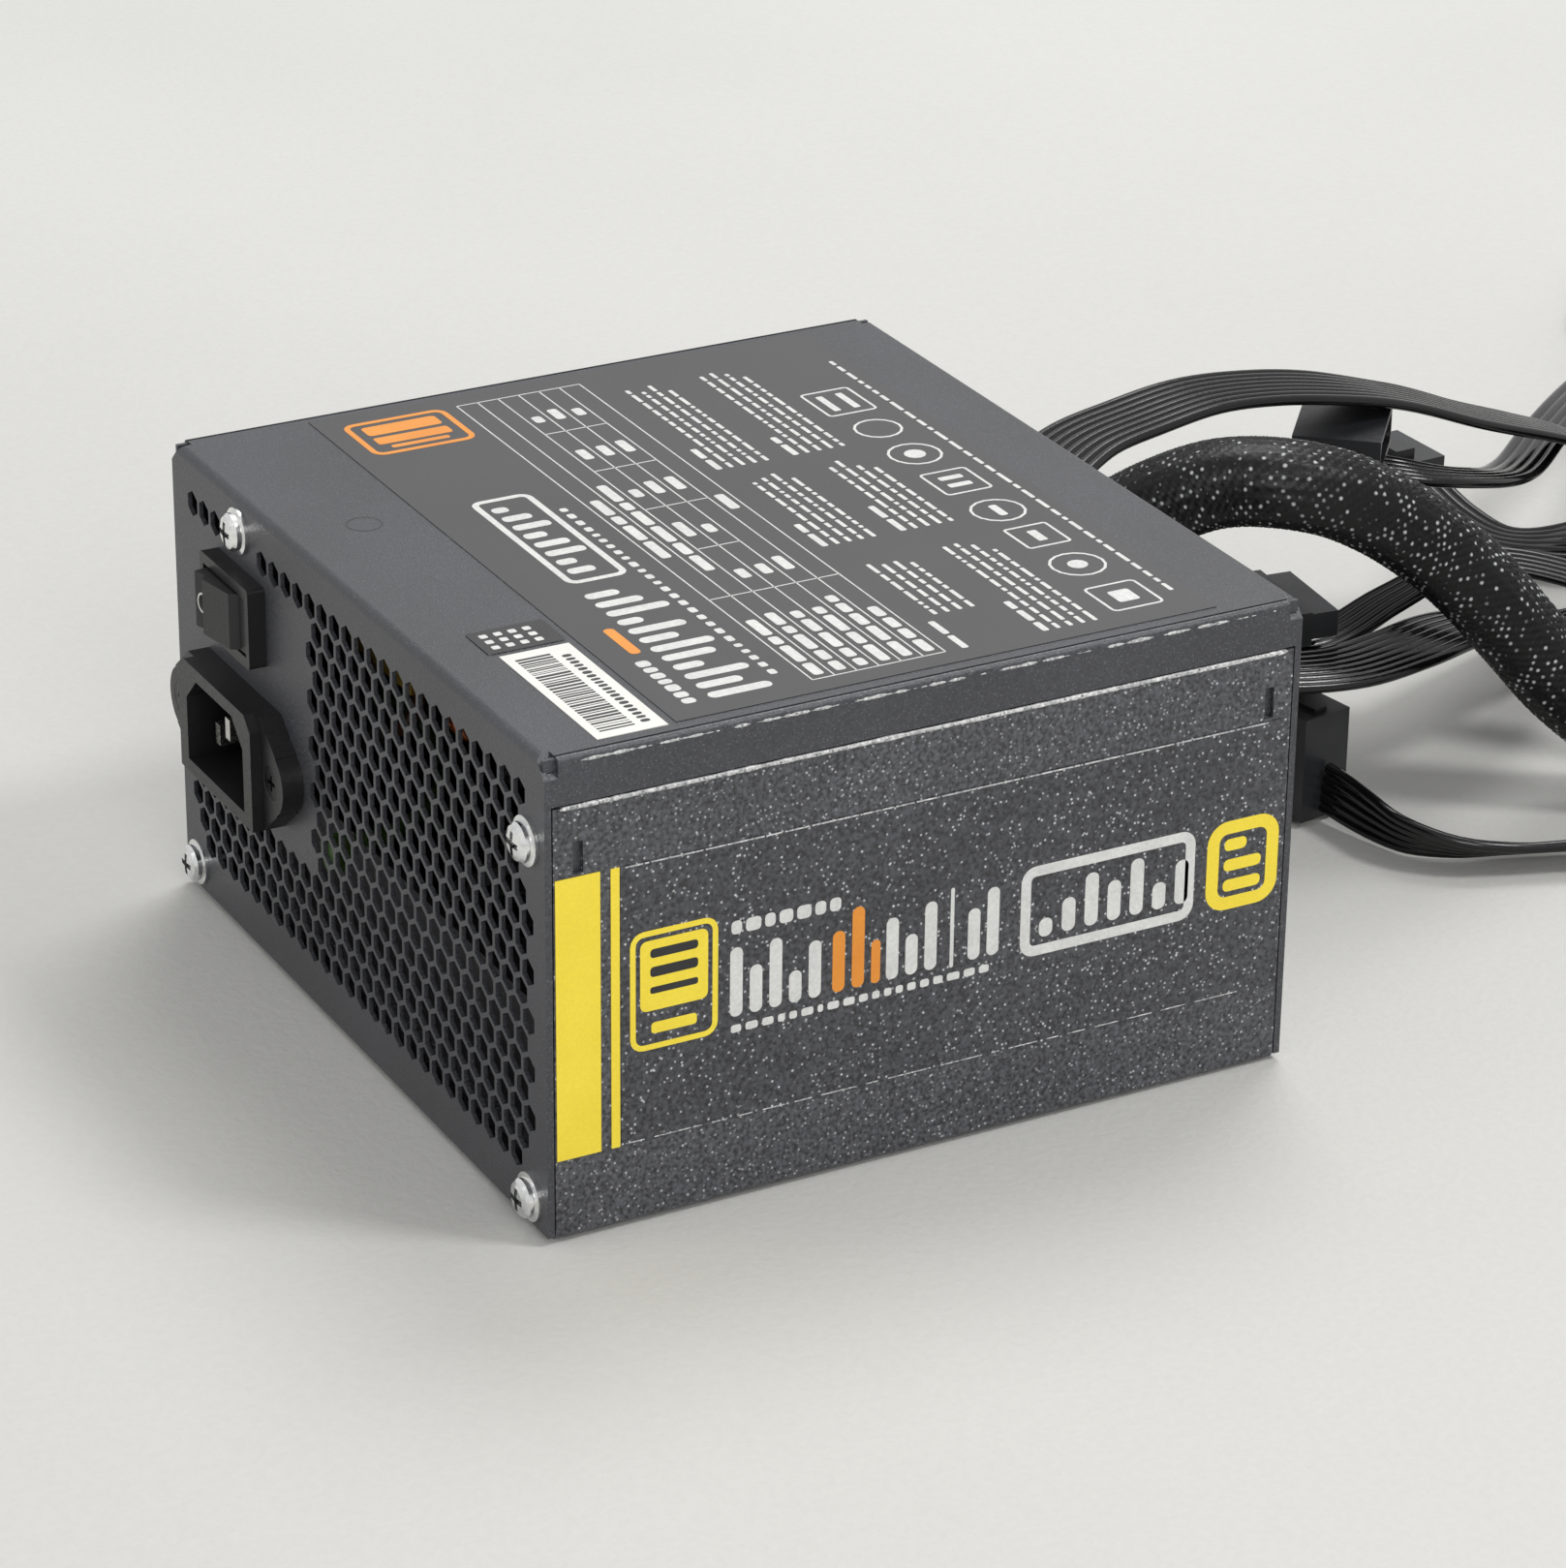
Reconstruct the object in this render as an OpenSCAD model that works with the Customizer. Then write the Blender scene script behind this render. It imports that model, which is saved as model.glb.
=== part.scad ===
/* [Case] */
// Width of the case, across the inlet panel
case_w = 150; // [140:1:190]
// Depth of the case, from the inlet panel to the cable panel
case_d = 140; // [134:1:180]
// Height of the case
case_h = 86; // [84:1:110]
// Thickness of the sheet steel
sheet = 0.8; // [0.6:0.1:1.2]
// Outside radius of the long bends
bend_r = 1.6; // [1.3:0.1:2.4]
// Height of the chassis flange along each side
strip_h = 8.2; // [6:0.1:14]
// Gap between the shells along their seams
seam = 0.45; // [0.3:0.05:0.8]
// Height of the chassis' lower edge over the floor
lift = 1.0; // [0.9:0.1:2]
// Leg of the relief cut at each top corner
relief = 3.4; // [2:0.1:4.5]

/* [Vents] */
// Distance between vent holes in a row
hole_pitch = 5.08; // [4.6:0.01:5.6]
// Vent hole size across its flats
hole_af = 4.2; // [3.4:0.1:4.4]
// Number of vent rows
vent_rows = 16; // [12:1:16]
// Holes in a full row
vent_cols = 27; // [21:2:27]
// Height of the lowest row
vent_low = 11.3; // [10.5:0.1:14]

/* [Inlet and switch] */
// Centre of the inlet and the switch from the case centre
ac_x = -45; // [-47:0.5:-43]
// Height of the inlet centre
inlet_z = 41; // [40:0.5:44]
// Width of the socket's raised front
socket_w = 32; // [29:0.5:34]
// Height of the socket's raised front
socket_h = 21.5; // [20.5:0.5:23]
// Distance between the inlet's two screws
ear_pitch = 40; // [39:0.5:42]
// Height of the switch centre
switch_z = 65.7; // [65:0.1:67]
// Width of the switch bezel
bezel_w = 21; // [20:0.5:23]
// Height of the switch bezel
bezel_h = 15; // [14:0.5:16]
// Swing of the rocker from stop to stop
rocker_swing = 20; // [14:1:22]

/* [Fan] */
// Side of the square fan
fan_size = 120; // [92:1:120]
// Thickness of the fan
fan_t = 25; // [20:1:26]
// Distance between the fan's screw holes
fan_pitch = 105; // [82:0.5:105]
// Outside radius of the rotor hub
hub_r = 20; // [16:0.5:24]
// Number of rotor blades
blade_count = 7; // [5:1:11]
// Radius of the fan's shaft
shaft_r = 1.5; // [1:0.1:2]
// Depth of the recessed fan bay
bay_depth = 4; // [3.8:0.1:5]

/* [Board] */
// Width of the circuit board
board_w = 134; // [124:1:134]
// Depth of the circuit board
board_d = 120; // [110:1:122]
// Height of the board standoffs
standoff_h = 6; // [4.5:0.1:8]
// Diameter of the bulk capacitor
bulk_d = 30; // [25:0.5:32]
// Height of the bulk capacitor
bulk_h = 41; // [30:0.5:42]

/* [Fasteners] */
// Thread diameter of the case mounting screws
mount_d = 3.5; // [3:0.1:4]
// Thread diameter of the small screws
small_d = 3; // [2.5:0.1:3.5]

/* [Cable exit] */
// Centre of the cable hole from the case centre
exit_x = -20; // [-25:0.5:-15]
// Height of the cable hole's centre
exit_z = 52; // [50:0.5:54]
// Width of the cable hole
exit_w = 46; // [46:0.5:50]
// Height of the cable hole
exit_h = 36; // [36:0.5:40]
// Diameter of the sleeved cable
sleeve_d = 17; // [14:0.5:19]
// Diameter of one insulated wire
wire_d = 2.1; // [1.6:0.1:2.3]

/* [Hidden] */

round_fn = 64;
small_fn = 24;
rear = -case_d / 2;
front = case_d / 2;
side = case_w / 2;
fit = 0.05;           // radial clearance of a fitted pin or screw
film = 0.12;          // thickness of a sticker
skin = 0.3;           // clearance between neighbouring parts

// what the cover and chassis share
seam_z = case_h - strip_h;
cover_end = front - sheet - 0.65;
flange_gap = 0.2;
flange_depth = 10;
narrow_flange = (case_d - fan_size - 8) / 2 - 0.6;
corner_x = side - 5.5;
corner_y = front - 5.5;
slot_y = front - 5.8;
slot_z = case_h - 17.7;
slot_h = 5.6;
slot_w = 1.8;

// the fan bay
bay_r = 6;
bay = fan_size + 8;
fan_z = bay_depth + sheet;
fan_top = fan_z + fan_t;
bore_r = fan_size / 2 - 1.8;
wire_r = 0.8;

// the board hangs under the label panel
board_t = 1.6;
board_top = case_h - sheet - standoff_h;
board_z = board_top - board_t;
post_x = board_w / 2 - 5;
post_y = board_d / 2 - 5;
posts = [for (x = [-1, 0, 1]) for (y = [-1, 1]) [x * post_x, y * post_y]];

// inlet and switch depths
row_pitch = hole_pitch * sqrt(3) / 2;
ear_t = 4;
socket_out = 6;
cavity_w = 25;
cavity_h = 16.6;
cavity_depth = 17;
socket_in = 17;
inlet_cut_w = socket_w - 4;
inlet_cut_h = socket_h - 1.5;
bezel_out = 3.3;
switch_cut_w = bezel_w - 1.8;
switch_cut_h = bezel_h - 2;
switch_in = 13;
pivot_y = rear + 0.2;
rocker_w = bezel_w - 5;
rocker_h = bezel_h - 4.6;
mount_holes = [[69, case_h - 16], [69, 6], [-69, 6], [-45, case_h - 6]];

grommet_lip = 2;
grommet_wall = 2;
wide_wires = 8;
narrow_wires = 5;

// ---- helpers ----

// a rounded rectangle about the origin, with true arcs
module round_rect(w, h, r) {
    square([w - 2 * r, h], center = true);
    square([w, h - 2 * r], center = true);
    for (x = [-1, 1], y = [-1, 1])
        translate([x * (w / 2 - r), y * (h / 2 - r)]) circle(r, $fn = round_fn);
}

// a rectangle with its two upper corners cut at 45 degrees
module cut_rect(w, h, c) {
    polygon([[-w / 2, -h / 2], [w / 2, -h / 2], [w / 2, h / 2 - c], [w / 2 - c, h / 2],
             [-w / 2 + c, h / 2], [-w / 2, h / 2 - c]]);
}

// stands a flat outline up on the inlet panel: x stays, y becomes height, depth runs inward
module on_rear(y0, y1) {
    translate([0, y1, 0]) rotate([90, 0, 0]) linear_extrude(y1 - y0) children();
}

// a cylinder along y
module rod_y(r, y0, y1, fn = small_fn) {
    translate([0, y1, 0]) rotate([90, 0, 0]) cylinder(r = r, h = y1 - y0, $fn = fn);
}

// the cross in a screw head, cut to the given depth below z = 0
module cross_cut(size, depth) {
    for (a = [0, 90]) rotate(a) cube([size, size / 4, depth * 2], center = true);
}

// points on a smooth curve through the given list, n per span
function smooth_at(a, b, c, d, t) =
    0.5 * ((2 * b) + (c - a) * t + (2 * a - 5 * b + 4 * c - d) * t * t
    + (3 * b - a - 3 * c + d) * t * t * t);
function smooth(p, n) = [
    for (i = [0 : len(p) - 2])
        for (k = [0 : n - 1])
            smooth_at(p[max(i - 1, 0)], p[i], p[i + 1], p[min(i + 2, len(p) - 1)], k / n),
    p[len(p) - 1]
];
function unit(v) = v / norm(v);
function heading(p, i) = unit(p[min(i + 1, len(p) - 1)] - p[max(i - 1, 0)]);
function level(t) = unit(cross(t, [0, 0, 1]));

// one ring of a cable: half width a, half thickness b, turned by its fourth number
function ring(c, t, a, b, turn, sides) = [
    for (k = [0 : sides - 1])
        let (u = level(t), v = cross(u, t), q = 360 * (k + 0.5) / sides,
             x = a * cos(q) / cos(180 / sides), y = b * sin(q) / cos(180 / sides))
            c + (x * cos(turn) - y * sin(turn)) * u + (x * sin(turn) + y * cos(turn)) * v
];

// a closed tube along a route of [x, y, z, turn] points
module cable(route, a, b, sides = 8) {
    spots = [for (p = route) [p[0], p[1], p[2]]];
    count = len(spots);
    rings = [for (i = [0 : count - 1]) ring(spots[i], heading(spots, i), a, b, route[i][3], sides)];
    points = [for (r = rings) for (q = r) q];
    walls = [for (i = [0 : count - 2]) for (k = [0 : sides - 1]) for (h = [0, 1])
        let (m = (k + 1) % sides, low = i * sides, high = low + sides)
            h == 0 ? [low + k, low + m, high + m] : [low + k, high + m, high + k]];
    first = [[for (k = [sides - 1 : -1 : 0]) k]];
    last = [[for (k = [0 : sides - 1]) (count - 1) * sides + k]];
    polyhedron(points, concat(first, walls, last), convexity = 6);
}
module ribbon(route, wires) {
    cable(route, wires * wire_d / 2, wire_d / 2);
}

// a flat coil of ribbon that stands on its edge
module flat_coil(centre, inner, outer, height) {
    translate([centre[0], centre[1], 0]) rotate_extrude($fn = round_fn)
        translate([inner, 0.1]) square([outer - inner, height]);
}

// ---- case ----

module chassis_shell() {
    difference() {
        intersection() {
            translate([side, 0, lift]) rotate([90, 0, -90]) linear_extrude(case_w)
                union() {
                    translate([0, (case_h - lift) / 2]) round_rect(case_d, case_h - lift, bend_r);
                    translate([-case_d / 2, 0]) square([case_d, case_h / 2]);
                }
            translate([0, front, lift]) rotate([90, 0, 0]) linear_extrude(case_d)
                union() {
                    translate([0, (case_h - lift) / 2]) round_rect(case_w, case_h - lift, 1);
                    translate([-side, 0]) square([case_w, case_h / 2]);
                }
        }
        translate([-side + sheet, rear + sheet, lift - 1])
            cube([case_w - 2 * sheet, case_d - 2 * sheet, case_h - sheet - lift + 1]);
        for (s = [-1, 1])
            translate([s * side - 2, rear + sheet + 0.4, lift - 1])
                cube([4, case_d - 2 * sheet - 0.8, seam_z - lift + 1]);
        // relief cuts at the top corners and a scored line beside each side bend
        for (x = [-side, side], y = [rear, front])
            translate([x, y, case_h]) rotate([0, 45, 0])
                cube([relief * sqrt(2), 5, relief * sqrt(2)], center = true);
        for (s = [-1, 1])
            translate([s * (side - 1.25) - 0.25, rear + 2.4, case_h - 0.4])
                cube([0.5, case_d - 5, 1]);
    }
    for (s = [-1, 1]) {
        // lower flanges with corner tabs that take the cover screws
        translate([-side + 3, s > 0 ? front - narrow_flange : rear + sheet / 2, lift])
            cube([case_w - 6, narrow_flange - sheet / 2, sheet]);
        for (e = [-1, 1])
            translate([e > 0 ? bay / 2 + 0.6 : -side + 3,
                       s > 0 ? front - flange_depth : rear + sheet / 2, lift])
                cube([side - 3.6 - bay / 2, flange_depth - sheet / 2, sheet]);
        // upright flanges behind the cover's sides
        for (e = [-1, 1])
            translate([s > 0 ? side - 2 * sheet - flange_gap : -side + sheet + flange_gap,
                       e > 0 ? front - flange_depth : rear + sheet / 2, lift])
                cube([sheet, flange_depth - sheet / 2, case_h - lift - sheet / 2]);
    }
    // threaded collars behind the four mounting holes
    for (p = mount_holes)
        translate([p[0], 0, p[1]]) rod_y(mount_d / 2 + 1.2, rear + sheet / 2, rear + 3);
}

function vent_ok(x, z) =
    let (row_top = vent_low + (vent_rows - 1) * row_pitch,
         over = z > row_top - row_pitch / 2,
         under = z < inlet_z - socket_h / 2 - 3.5,
         beside = x > ac_x + bezel_w / 2 + 18)
        (over || under || beside)
        && min([for (p = mount_holes) norm([x - p[0], z - p[1]])]) > 6
        && norm([x - mount_holes[3][0] - 1, z - mount_holes[3][1] + 2]) > 5.5
        && abs(x) < side - 6.2;

module vent_holes() {
    for (j = [0 : vent_rows - 1], i = [-1 : vent_cols - 1]) {
        x = (i - (vent_cols - 1) / 2 + (j % 2 == 0 ? 0.5 : 0)) * hole_pitch;
        z = vent_low + j * row_pitch;
        if (vent_ok(x, z))
            translate([x, z]) rotate(30) circle(d = hole_af / cos(30), $fn = 6);
    }
}

module chassis() {
    color("#3a3b3e") difference() {
        chassis_shell();
        on_rear(rear - 1, rear + sheet + 0.02) vent_holes();
        for (p = mount_holes)
            translate([p[0], 0, p[1]]) rod_y(mount_d / 2 + fit, rear - 1, rear + 4);
        translate([ac_x, 0, inlet_z]) on_rear(rear - 1, rear + sheet + 1)
            square([inlet_cut_w + 0.4, inlet_cut_h + 0.4], center = true);
        for (s = [-1, 1])
            translate([ac_x + s * ear_pitch / 2, 0, inlet_z])
                rod_y(small_d / 2 + fit, rear - 1, rear + 2);
        translate([ac_x, 0, switch_z]) on_rear(rear - 1, rear + sheet + 1)
            square([switch_cut_w + 0.3, switch_cut_h + 0.3], center = true);
        translate([exit_x, 0, exit_z]) on_rear(front - sheet - 1, front + 1)
            round_rect(exit_w, exit_h, 5);
        for (x = [-corner_x, corner_x], y = [-corner_y, corner_y])
            translate([x, y, lift - 1]) cylinder(r = small_d / 2 + fit, h = 4, $fn = small_fn);
        // clearance under the board screws' standoffs: each has a small stud in the panel
        for (p = posts)
            translate([p[0], p[1], case_h - sheet - 1])
                cylinder(r = small_d / 2 + 0.6, h = 1 + sheet / 2, $fn = small_fn);
    }
}

module cover() {
    color("#34363a") difference() {
        union() {
            difference() {
                translate([0, cover_end, 0]) rotate([90, 0, 0]) linear_extrude(2 * cover_end)
                    union() {
                        translate([0, case_h / 2]) round_rect(case_w, case_h, bend_r);
                    }
                translate([-side + sheet, -cover_end - 1, sheet])
                    cube([case_w - 2 * sheet, 2 * cover_end + 2, case_h]);
                translate([-side - 1, -cover_end - 1, seam_z - seam])
                    cube([case_w + 2, 2 * cover_end + 2, case_h]);
                translate([0, 0, -1]) linear_extrude(sheet + 2)
                    round_rect(bay - 0.02, bay - 0.02, bay_r);
            }
            // the pressed bay that holds the fan
            difference() {
                linear_extrude(fan_z) round_rect(bay, bay, bay_r);
                translate([0, 0, -1]) linear_extrude(bay_depth + 1)
                    round_rect(bay - 2 * sheet, bay - 2 * sheet, bay_r - sheet);
            }
        }
        translate([0, 0, -1]) cylinder(r = bore_r - 1.5, h = fan_z + 2, $fn = round_fn);
        for (x = [-1, 1], y = [-1, 1])
            translate([x * fan_pitch / 2, y * fan_pitch / 2, -1])
                cylinder(r = 2.2, h = fan_z + 2, $fn = small_fn);
        for (x = [-corner_x, corner_x], y = [-corner_y, corner_y])
            translate([x, y, 0]) {
                translate([0, 0, -1]) cylinder(r = small_d / 2 + 0.15, h = 3, $fn = small_fn);
                translate([0, 0, -0.01])
                    cylinder(r1 = small_d * 0.9, r2 = small_d / 2, h = sheet, $fn = small_fn);
            }
        for (y = [-slot_y, slot_y])
            translate([0, y, slot_z]) cube([case_w + 2, slot_w, slot_h], center = true);
    }
}

module cover_screws() {
    color("#26272a")
        for (x = [-corner_x, corner_x], y = [-corner_y, corner_y])
            translate([x, y, 0]) difference() {
                union() {
                    translate([0, 0, 0.05])
                        cylinder(r1 = small_d * 0.9 - 0.2, r2 = small_d / 2, h = sheet - 0.1,
                                 $fn = small_fn);
                    translate([0, 0, 0.3]) cylinder(r = small_d / 2, h = 3.4, $fn = small_fn);
                }
                translate([0, 0, 0.05]) cross_cut(2.6, 0.6);
            }
}

module mounting_screws() {
    head_r = 4.2;
    color("#c9c9c4")
        for (p = mount_holes)
            translate([p[0], rear, p[1]]) rotate([90, 0, 0]) difference() {
                union() {
                    // a pan head on a thin flange
                    rotate_extrude($fn = round_fn)
                        polygon([[0, 0.02], [head_r, 0.02], [head_r, 0.7], [head_r - 0.8, 0.9],
                                 [head_r - 0.8, 1.8], [head_r - 1.3, 2.4], [head_r - 2.2, 2.8],
                                 [0, 3]]);
                    translate([0, 0, -6]) cylinder(r = mount_d / 2, h = 6.5, $fn = small_fn);
                }
                translate([0, 0, 3]) cross_cut(4, 1.7);
            }
}

module rating_label() {
    color("#2b2c2f")
        translate([-side + 3.1, rear + 25, case_h + 0.01])
            cube([case_w - 6.9, case_d - 39.7, film]);
}

module barcode_sticker() {
    color("#e9e8e2") {
        translate([side - 39, rear + 11, case_h + 0.01]) cube([35.5, 12.5, film]);
        translate([side - 49.4, rear + 10, case_h + 0.01]) cube([8.8, 13.6, film]);
    }
}

stripe_end = rear + 13.2;
module side_film() {
    color("#3d3e42")
        translate([side + 0.01, stripe_end, 14.8]) cube([film, front - stripe_end - 1.9, 50.2]);
}

module side_stripes() {
    color("#f8de4c") {
        translate([side + 0.01, -cover_end + 0.25, 14.8]) cube([film, 7.9, 50.2]);
        translate([side + 0.01, stripe_end - 1.75, 14.8]) cube([film, 1.55, 50.2]);
    }
}

// ---- mains inlet and switch ----

module inlet_body() {
    ear_r = 6.3;
    color("#1d1e20") translate([ac_x, 0, inlet_z]) difference() {
        union() {
            on_rear(rear - ear_t, rear - 0.02) {
                polygon([[-socket_w / 2, -socket_h / 2], [socket_w / 2, -socket_h / 2],
                         [ear_pitch / 2 + 2.2, -ear_r + 0.7], [ear_pitch / 2 + 2.2, ear_r - 0.7],
                         [socket_w / 2, socket_h / 2], [-socket_w / 2, socket_h / 2],
                         [-ear_pitch / 2 - 2.2, ear_r - 0.7], [-ear_pitch / 2 - 2.2, -ear_r + 0.7]]);
                for (s = [-1, 1])
                    translate([s * (ear_pitch / 2 - 1.2), 0]) circle(ear_r, $fn = round_fn);
            }
            on_rear(rear - socket_out, rear - ear_t + 0.1) cut_rect(socket_w, socket_h, 2.6);
            on_rear(rear - 0.1, rear + socket_in) square([inlet_cut_w, inlet_cut_h], center = true);
        }
        on_rear(rear - socket_out - 1, rear - socket_out + cavity_depth)
            cut_rect(cavity_w, cavity_h, 4.6);
        for (s = [-1, 1]) translate([s * ear_pitch / 2, 0, 0]) {
            rod_y(small_d / 2 + fit, rear - ear_t - 1, rear + 1);
            translate([0, rear - ear_t + 1.6, 0]) rotate([90, 0, 0])
                cylinder(r1 = small_d / 2, r2 = small_d + 0.1, h = 1.61, $fn = small_fn);
        }
        for (p = [[-7, -2], [7, -2], [0, 2]])
            translate([p[0], 0, p[1]]) on_rear(rear, rear + socket_in + 1)
                square([2 + 2 * fit, 4 + 2 * fit], center = true);
    }
}

module inlet_pins() {
    color("#cfcdc6") translate([ac_x, 0, inlet_z])
        for (p = [[-7, -2], [7, -2], [0, 2]])
            translate([p[0], 0, p[1]]) {
                on_rear(rear - socket_out + (p[0] == 0 ? 2.5 : 3.5), rear + socket_in + 6)
                    square([2, 4], center = true);
            }
}

module inlet_screws() {
    color("#26272a")
        for (s = [-1, 1]) translate([ac_x + s * ear_pitch / 2, 0, inlet_z]) {
            difference() {
                union() {
                    translate([0, rear - ear_t + 1.5, 0]) rotate([90, 0, 0])
                        cylinder(r1 = small_d / 2 - 0.05, r2 = small_d, h = 1.45, $fn = small_fn);
                    rod_y(small_d / 2, rear - ear_t + 1.3, rear + sheet + 3.4);
                }
                translate([0, rear - ear_t, 0]) rotate([90, 0, 0]) cross_cut(3, 0.9);
            }
            // the nut behind the panel
            difference() {
                on_rear(rear + sheet + 0.02, rear + sheet + 2.4) circle(r = 3, $fn = 6);
                rod_y(small_d / 2 + fit, rear, rear + 5);
            }
        }
}

module switch_housing() {
    wall = 1;
    color("#1d1e20") translate([ac_x, 0, switch_z]) difference() {
        union() {
            on_rear(rear - bezel_out, rear - 0.02) round_rect(bezel_w, bezel_h, 0.8);
            on_rear(rear - 0.1, rear + switch_in)
                square([switch_cut_w, switch_cut_h], center = true);
        }
        on_rear(rear - bezel_out - 1, rear + switch_in - wall - 1.4)
            square([bezel_w - 2.8, rocker_h + 0.6], center = true);
        translate([0, pivot_y, 0]) cylinder(r = 1.1 + fit, h = rocker_h + 2.2, center = true,
                                            $fn = small_fn);
        for (x = [-5.5, 0, 5.5])
            translate([x, 0, 0]) on_rear(rear + 5, rear + switch_in + 1)
                square([0.8 + 2 * fit, 4.8 + 2 * fit], center = true);
    }
}

module switch_rocker() {
    half = rocker_w / 2;
    crown = 4.6;
    color("#17181a") translate([ac_x, pivot_y, switch_z]) rotate(rocker_swing / 2) {
        linear_extrude(rocker_h, center = true) intersection() {
            union() {
                polygon([[-half, -crown], [0, -crown + 1.1], [half, -crown], [half, 0], [-half, 0]]);
                translate([0, -1]) circle(6.2, $fn = round_fn);
            }
            translate([-half, -crown - 1]) square([2 * half, crown + 5]);
        }
        cylinder(r = 1.1, h = rocker_h + 1.8, center = true, $fn = small_fn);
    }
}

module switch_terminals() {
    color("#c8b98a") translate([ac_x, 0, switch_z])
        for (x = [-5.5, 0, 5.5])
            translate([x, 0, 0]) on_rear(rear + switch_in - 2, rear + switch_in + 7)
                square([0.8, 4.8], center = true);
}

// straight-and-curved leads inside the case, each a route of [x, y, z, turn] points
pin_y = rear + socket_in + 6.4;
tab_y = rear + switch_in + 7.7;
lead_r = 1.2;
module ac_wires() {
    routes = [
        [[ac_x - 7, pin_y, inlet_z - 2, 0], [ac_x - 9, pin_y + 5, inlet_z, 0],
         [ac_x - 12, pin_y + 7, inlet_z + 12, 0], [ac_x - 9, pin_y + 4, switch_z - 8, 0],
         [ac_x - 5.5, tab_y + 3, switch_z - 2, 0], [ac_x - 5.5, tab_y, switch_z, 0]],
        [[ac_x + 7, pin_y, inlet_z - 2, 0], [ac_x + 7.5, pin_y + 4.6, inlet_z, 0],
         [ac_x + 6, pin_y + 8.6, inlet_z + 9, 0], [ac_x + 1, pin_y + 9.6, inlet_z + 23, 0],
         [ac_x + 1, pin_y + 9.6, board_z - 0.6, 0]],
        [[ac_x + 5.5, tab_y, switch_z, 0], [ac_x + 5.5, tab_y + 4, switch_z + 0.5, 0],
         [ac_x + 5, tab_y + 7, switch_z + 4, 0], [ac_x + 5, tab_y + 7, board_z - 0.6, 0]]
    ];
    color("#7a4a2a") for (r = routes) cable(smooth(r, 3), lead_r, lead_r, 8);
}

module earth_wire() {
    lug_x = ac_x + 33;
    color("#5f9e3f") {
        cable(smooth([[ac_x, pin_y, inlet_z + 2, 0], [ac_x + 1, pin_y + 5.6, inlet_z + 1, 0],
                      [ac_x + 4, pin_y + 9.6, inlet_z - 4.5, 0],
                      [ac_x + 13, pin_y + 8.6, inlet_z - 7, 0],
                      [ac_x + 25, pin_y + 0.6, inlet_z - 7.5, 0],
                      [lug_x - 1, rear + 13, inlet_z - 8, 0], [lug_x, rear + 6, inlet_z - 7.5, 0]], 3),
              lead_r, lead_r, 8);
    }
    // ring terminal, held on the panel's stud by its nut
    color("#c8c8c0") translate([lug_x, 0, inlet_z - 9]) difference() {
        union() {
            rod_y(3.4, rear + sheet + 0.02, rear + sheet + 3);
            rod_y(1.6, rear + sheet + 1, rear + 5.6);
        }
        translate([0, 0, 0]) rod_y(0.6, rear + 4, rear + 7);
    }
}

// ---- circuit board ----

module main_board() {
    color("#2f6b3a") difference() {
        translate([-board_w / 2, -board_d / 2, board_z]) cube([board_w, board_d, board_t]);
        for (p = posts)
            translate([p[0], p[1], board_z - 1])
                cylinder(r = small_d / 2 + 0.1, h = board_t + 2, $fn = small_fn);
    }
}

module board_standoffs() {
    color("#c7a24a")
        for (p = posts) translate([p[0], p[1], board_top + 0.02]) difference() {
            union() {
                cylinder(r = small_d / 2 + 1.3, h = standoff_h - 0.04, $fn = 6);
                cylinder(r = small_d / 2 + 0.55, h = standoff_h + sheet / 2 - 0.1, $fn = small_fn);
            }
            translate([0, 0, -1]) cylinder(r = small_d / 2 + fit, h = standoff_h, $fn = small_fn);
        }
}

module board_screws() {
    color("#c9c9c4")
        for (p = posts) translate([p[0], p[1], board_z]) difference() {
            union() {
                translate([0, 0, -2.02]) cylinder(r = small_d * 0.9, h = 2, $fn = small_fn);
                translate([0, 0, -0.5])
                    cylinder(r = small_d / 2, h = board_t + standoff_h - 1.4, $fn = small_fn);
            }
            translate([0, 0, -2.05]) cross_cut(3, 1);
        }
}

module insulation_sheet() {
    color("#d9d7c8") difference() {
        translate([-board_w / 2 - 1, -board_d / 2 - 1, case_h - sheet - 0.35])
            cube([board_w + 2, board_d + 2, 0.3]);
        for (p = posts)
            translate([p[0], p[1], case_h - sheet - 1])
                cylinder(r = small_d / 2 + 2, h = 2, $fn = small_fn);
    }
}

// everything soldered to the board hangs below it: z runs down from the board here
module under_board(x, y) {
    translate([x, y, board_z - 0.02]) mirror([0, 0, 1]) children();
}

module comb_plate(length, height, thick, teeth) {
    // a sheet heatsink: a plate whose free edge is cut into bent fingers
    step = length / teeth;
    translate([-thick / 2, -length / 2, 0]) cube([thick, length, height - 8]);
    for (i = [0 : teeth - 1])
        translate([-thick / 2, -length / 2 + i * step + 0.6, height - 8.01]) {
            cube([thick, step - 1.2, 8]);
            translate([i % 2 == 0 ? 0 : -4.5, 0, 6.5]) cube([thick + 4.5, step - 1.2, 1.5]);
        }
}

sink_x = -16;
sink_y = 4;
sink_len = 78;
out_sink_x = 38;
out_sink_y = -16;
out_sink_len = 52;
sink_t = 3;

module primary_heatsink() {
    color("#b7bbbf") under_board(sink_x, sink_y) comb_plate(sink_len, 40, sink_t, 10);
}

module secondary_heatsink() {
    color("#b7bbbf") under_board(out_sink_x, out_sink_y) comb_plate(out_sink_len, 38, sink_t, 7);
}

// a power transistor with its back on a plate whose face is at x = 0, legs up to the board
module transistor() {
    translate([0.02, -5, 9]) cube([1.3, 10, 16]);
    translate([0.6, -5, 9]) cube([4, 10, 9.5]);
    for (y = [-2.54, 0, 2.54]) translate([2, y - 0.4, 0]) cube([0.6, 0.8, 9.2]);
}

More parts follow.
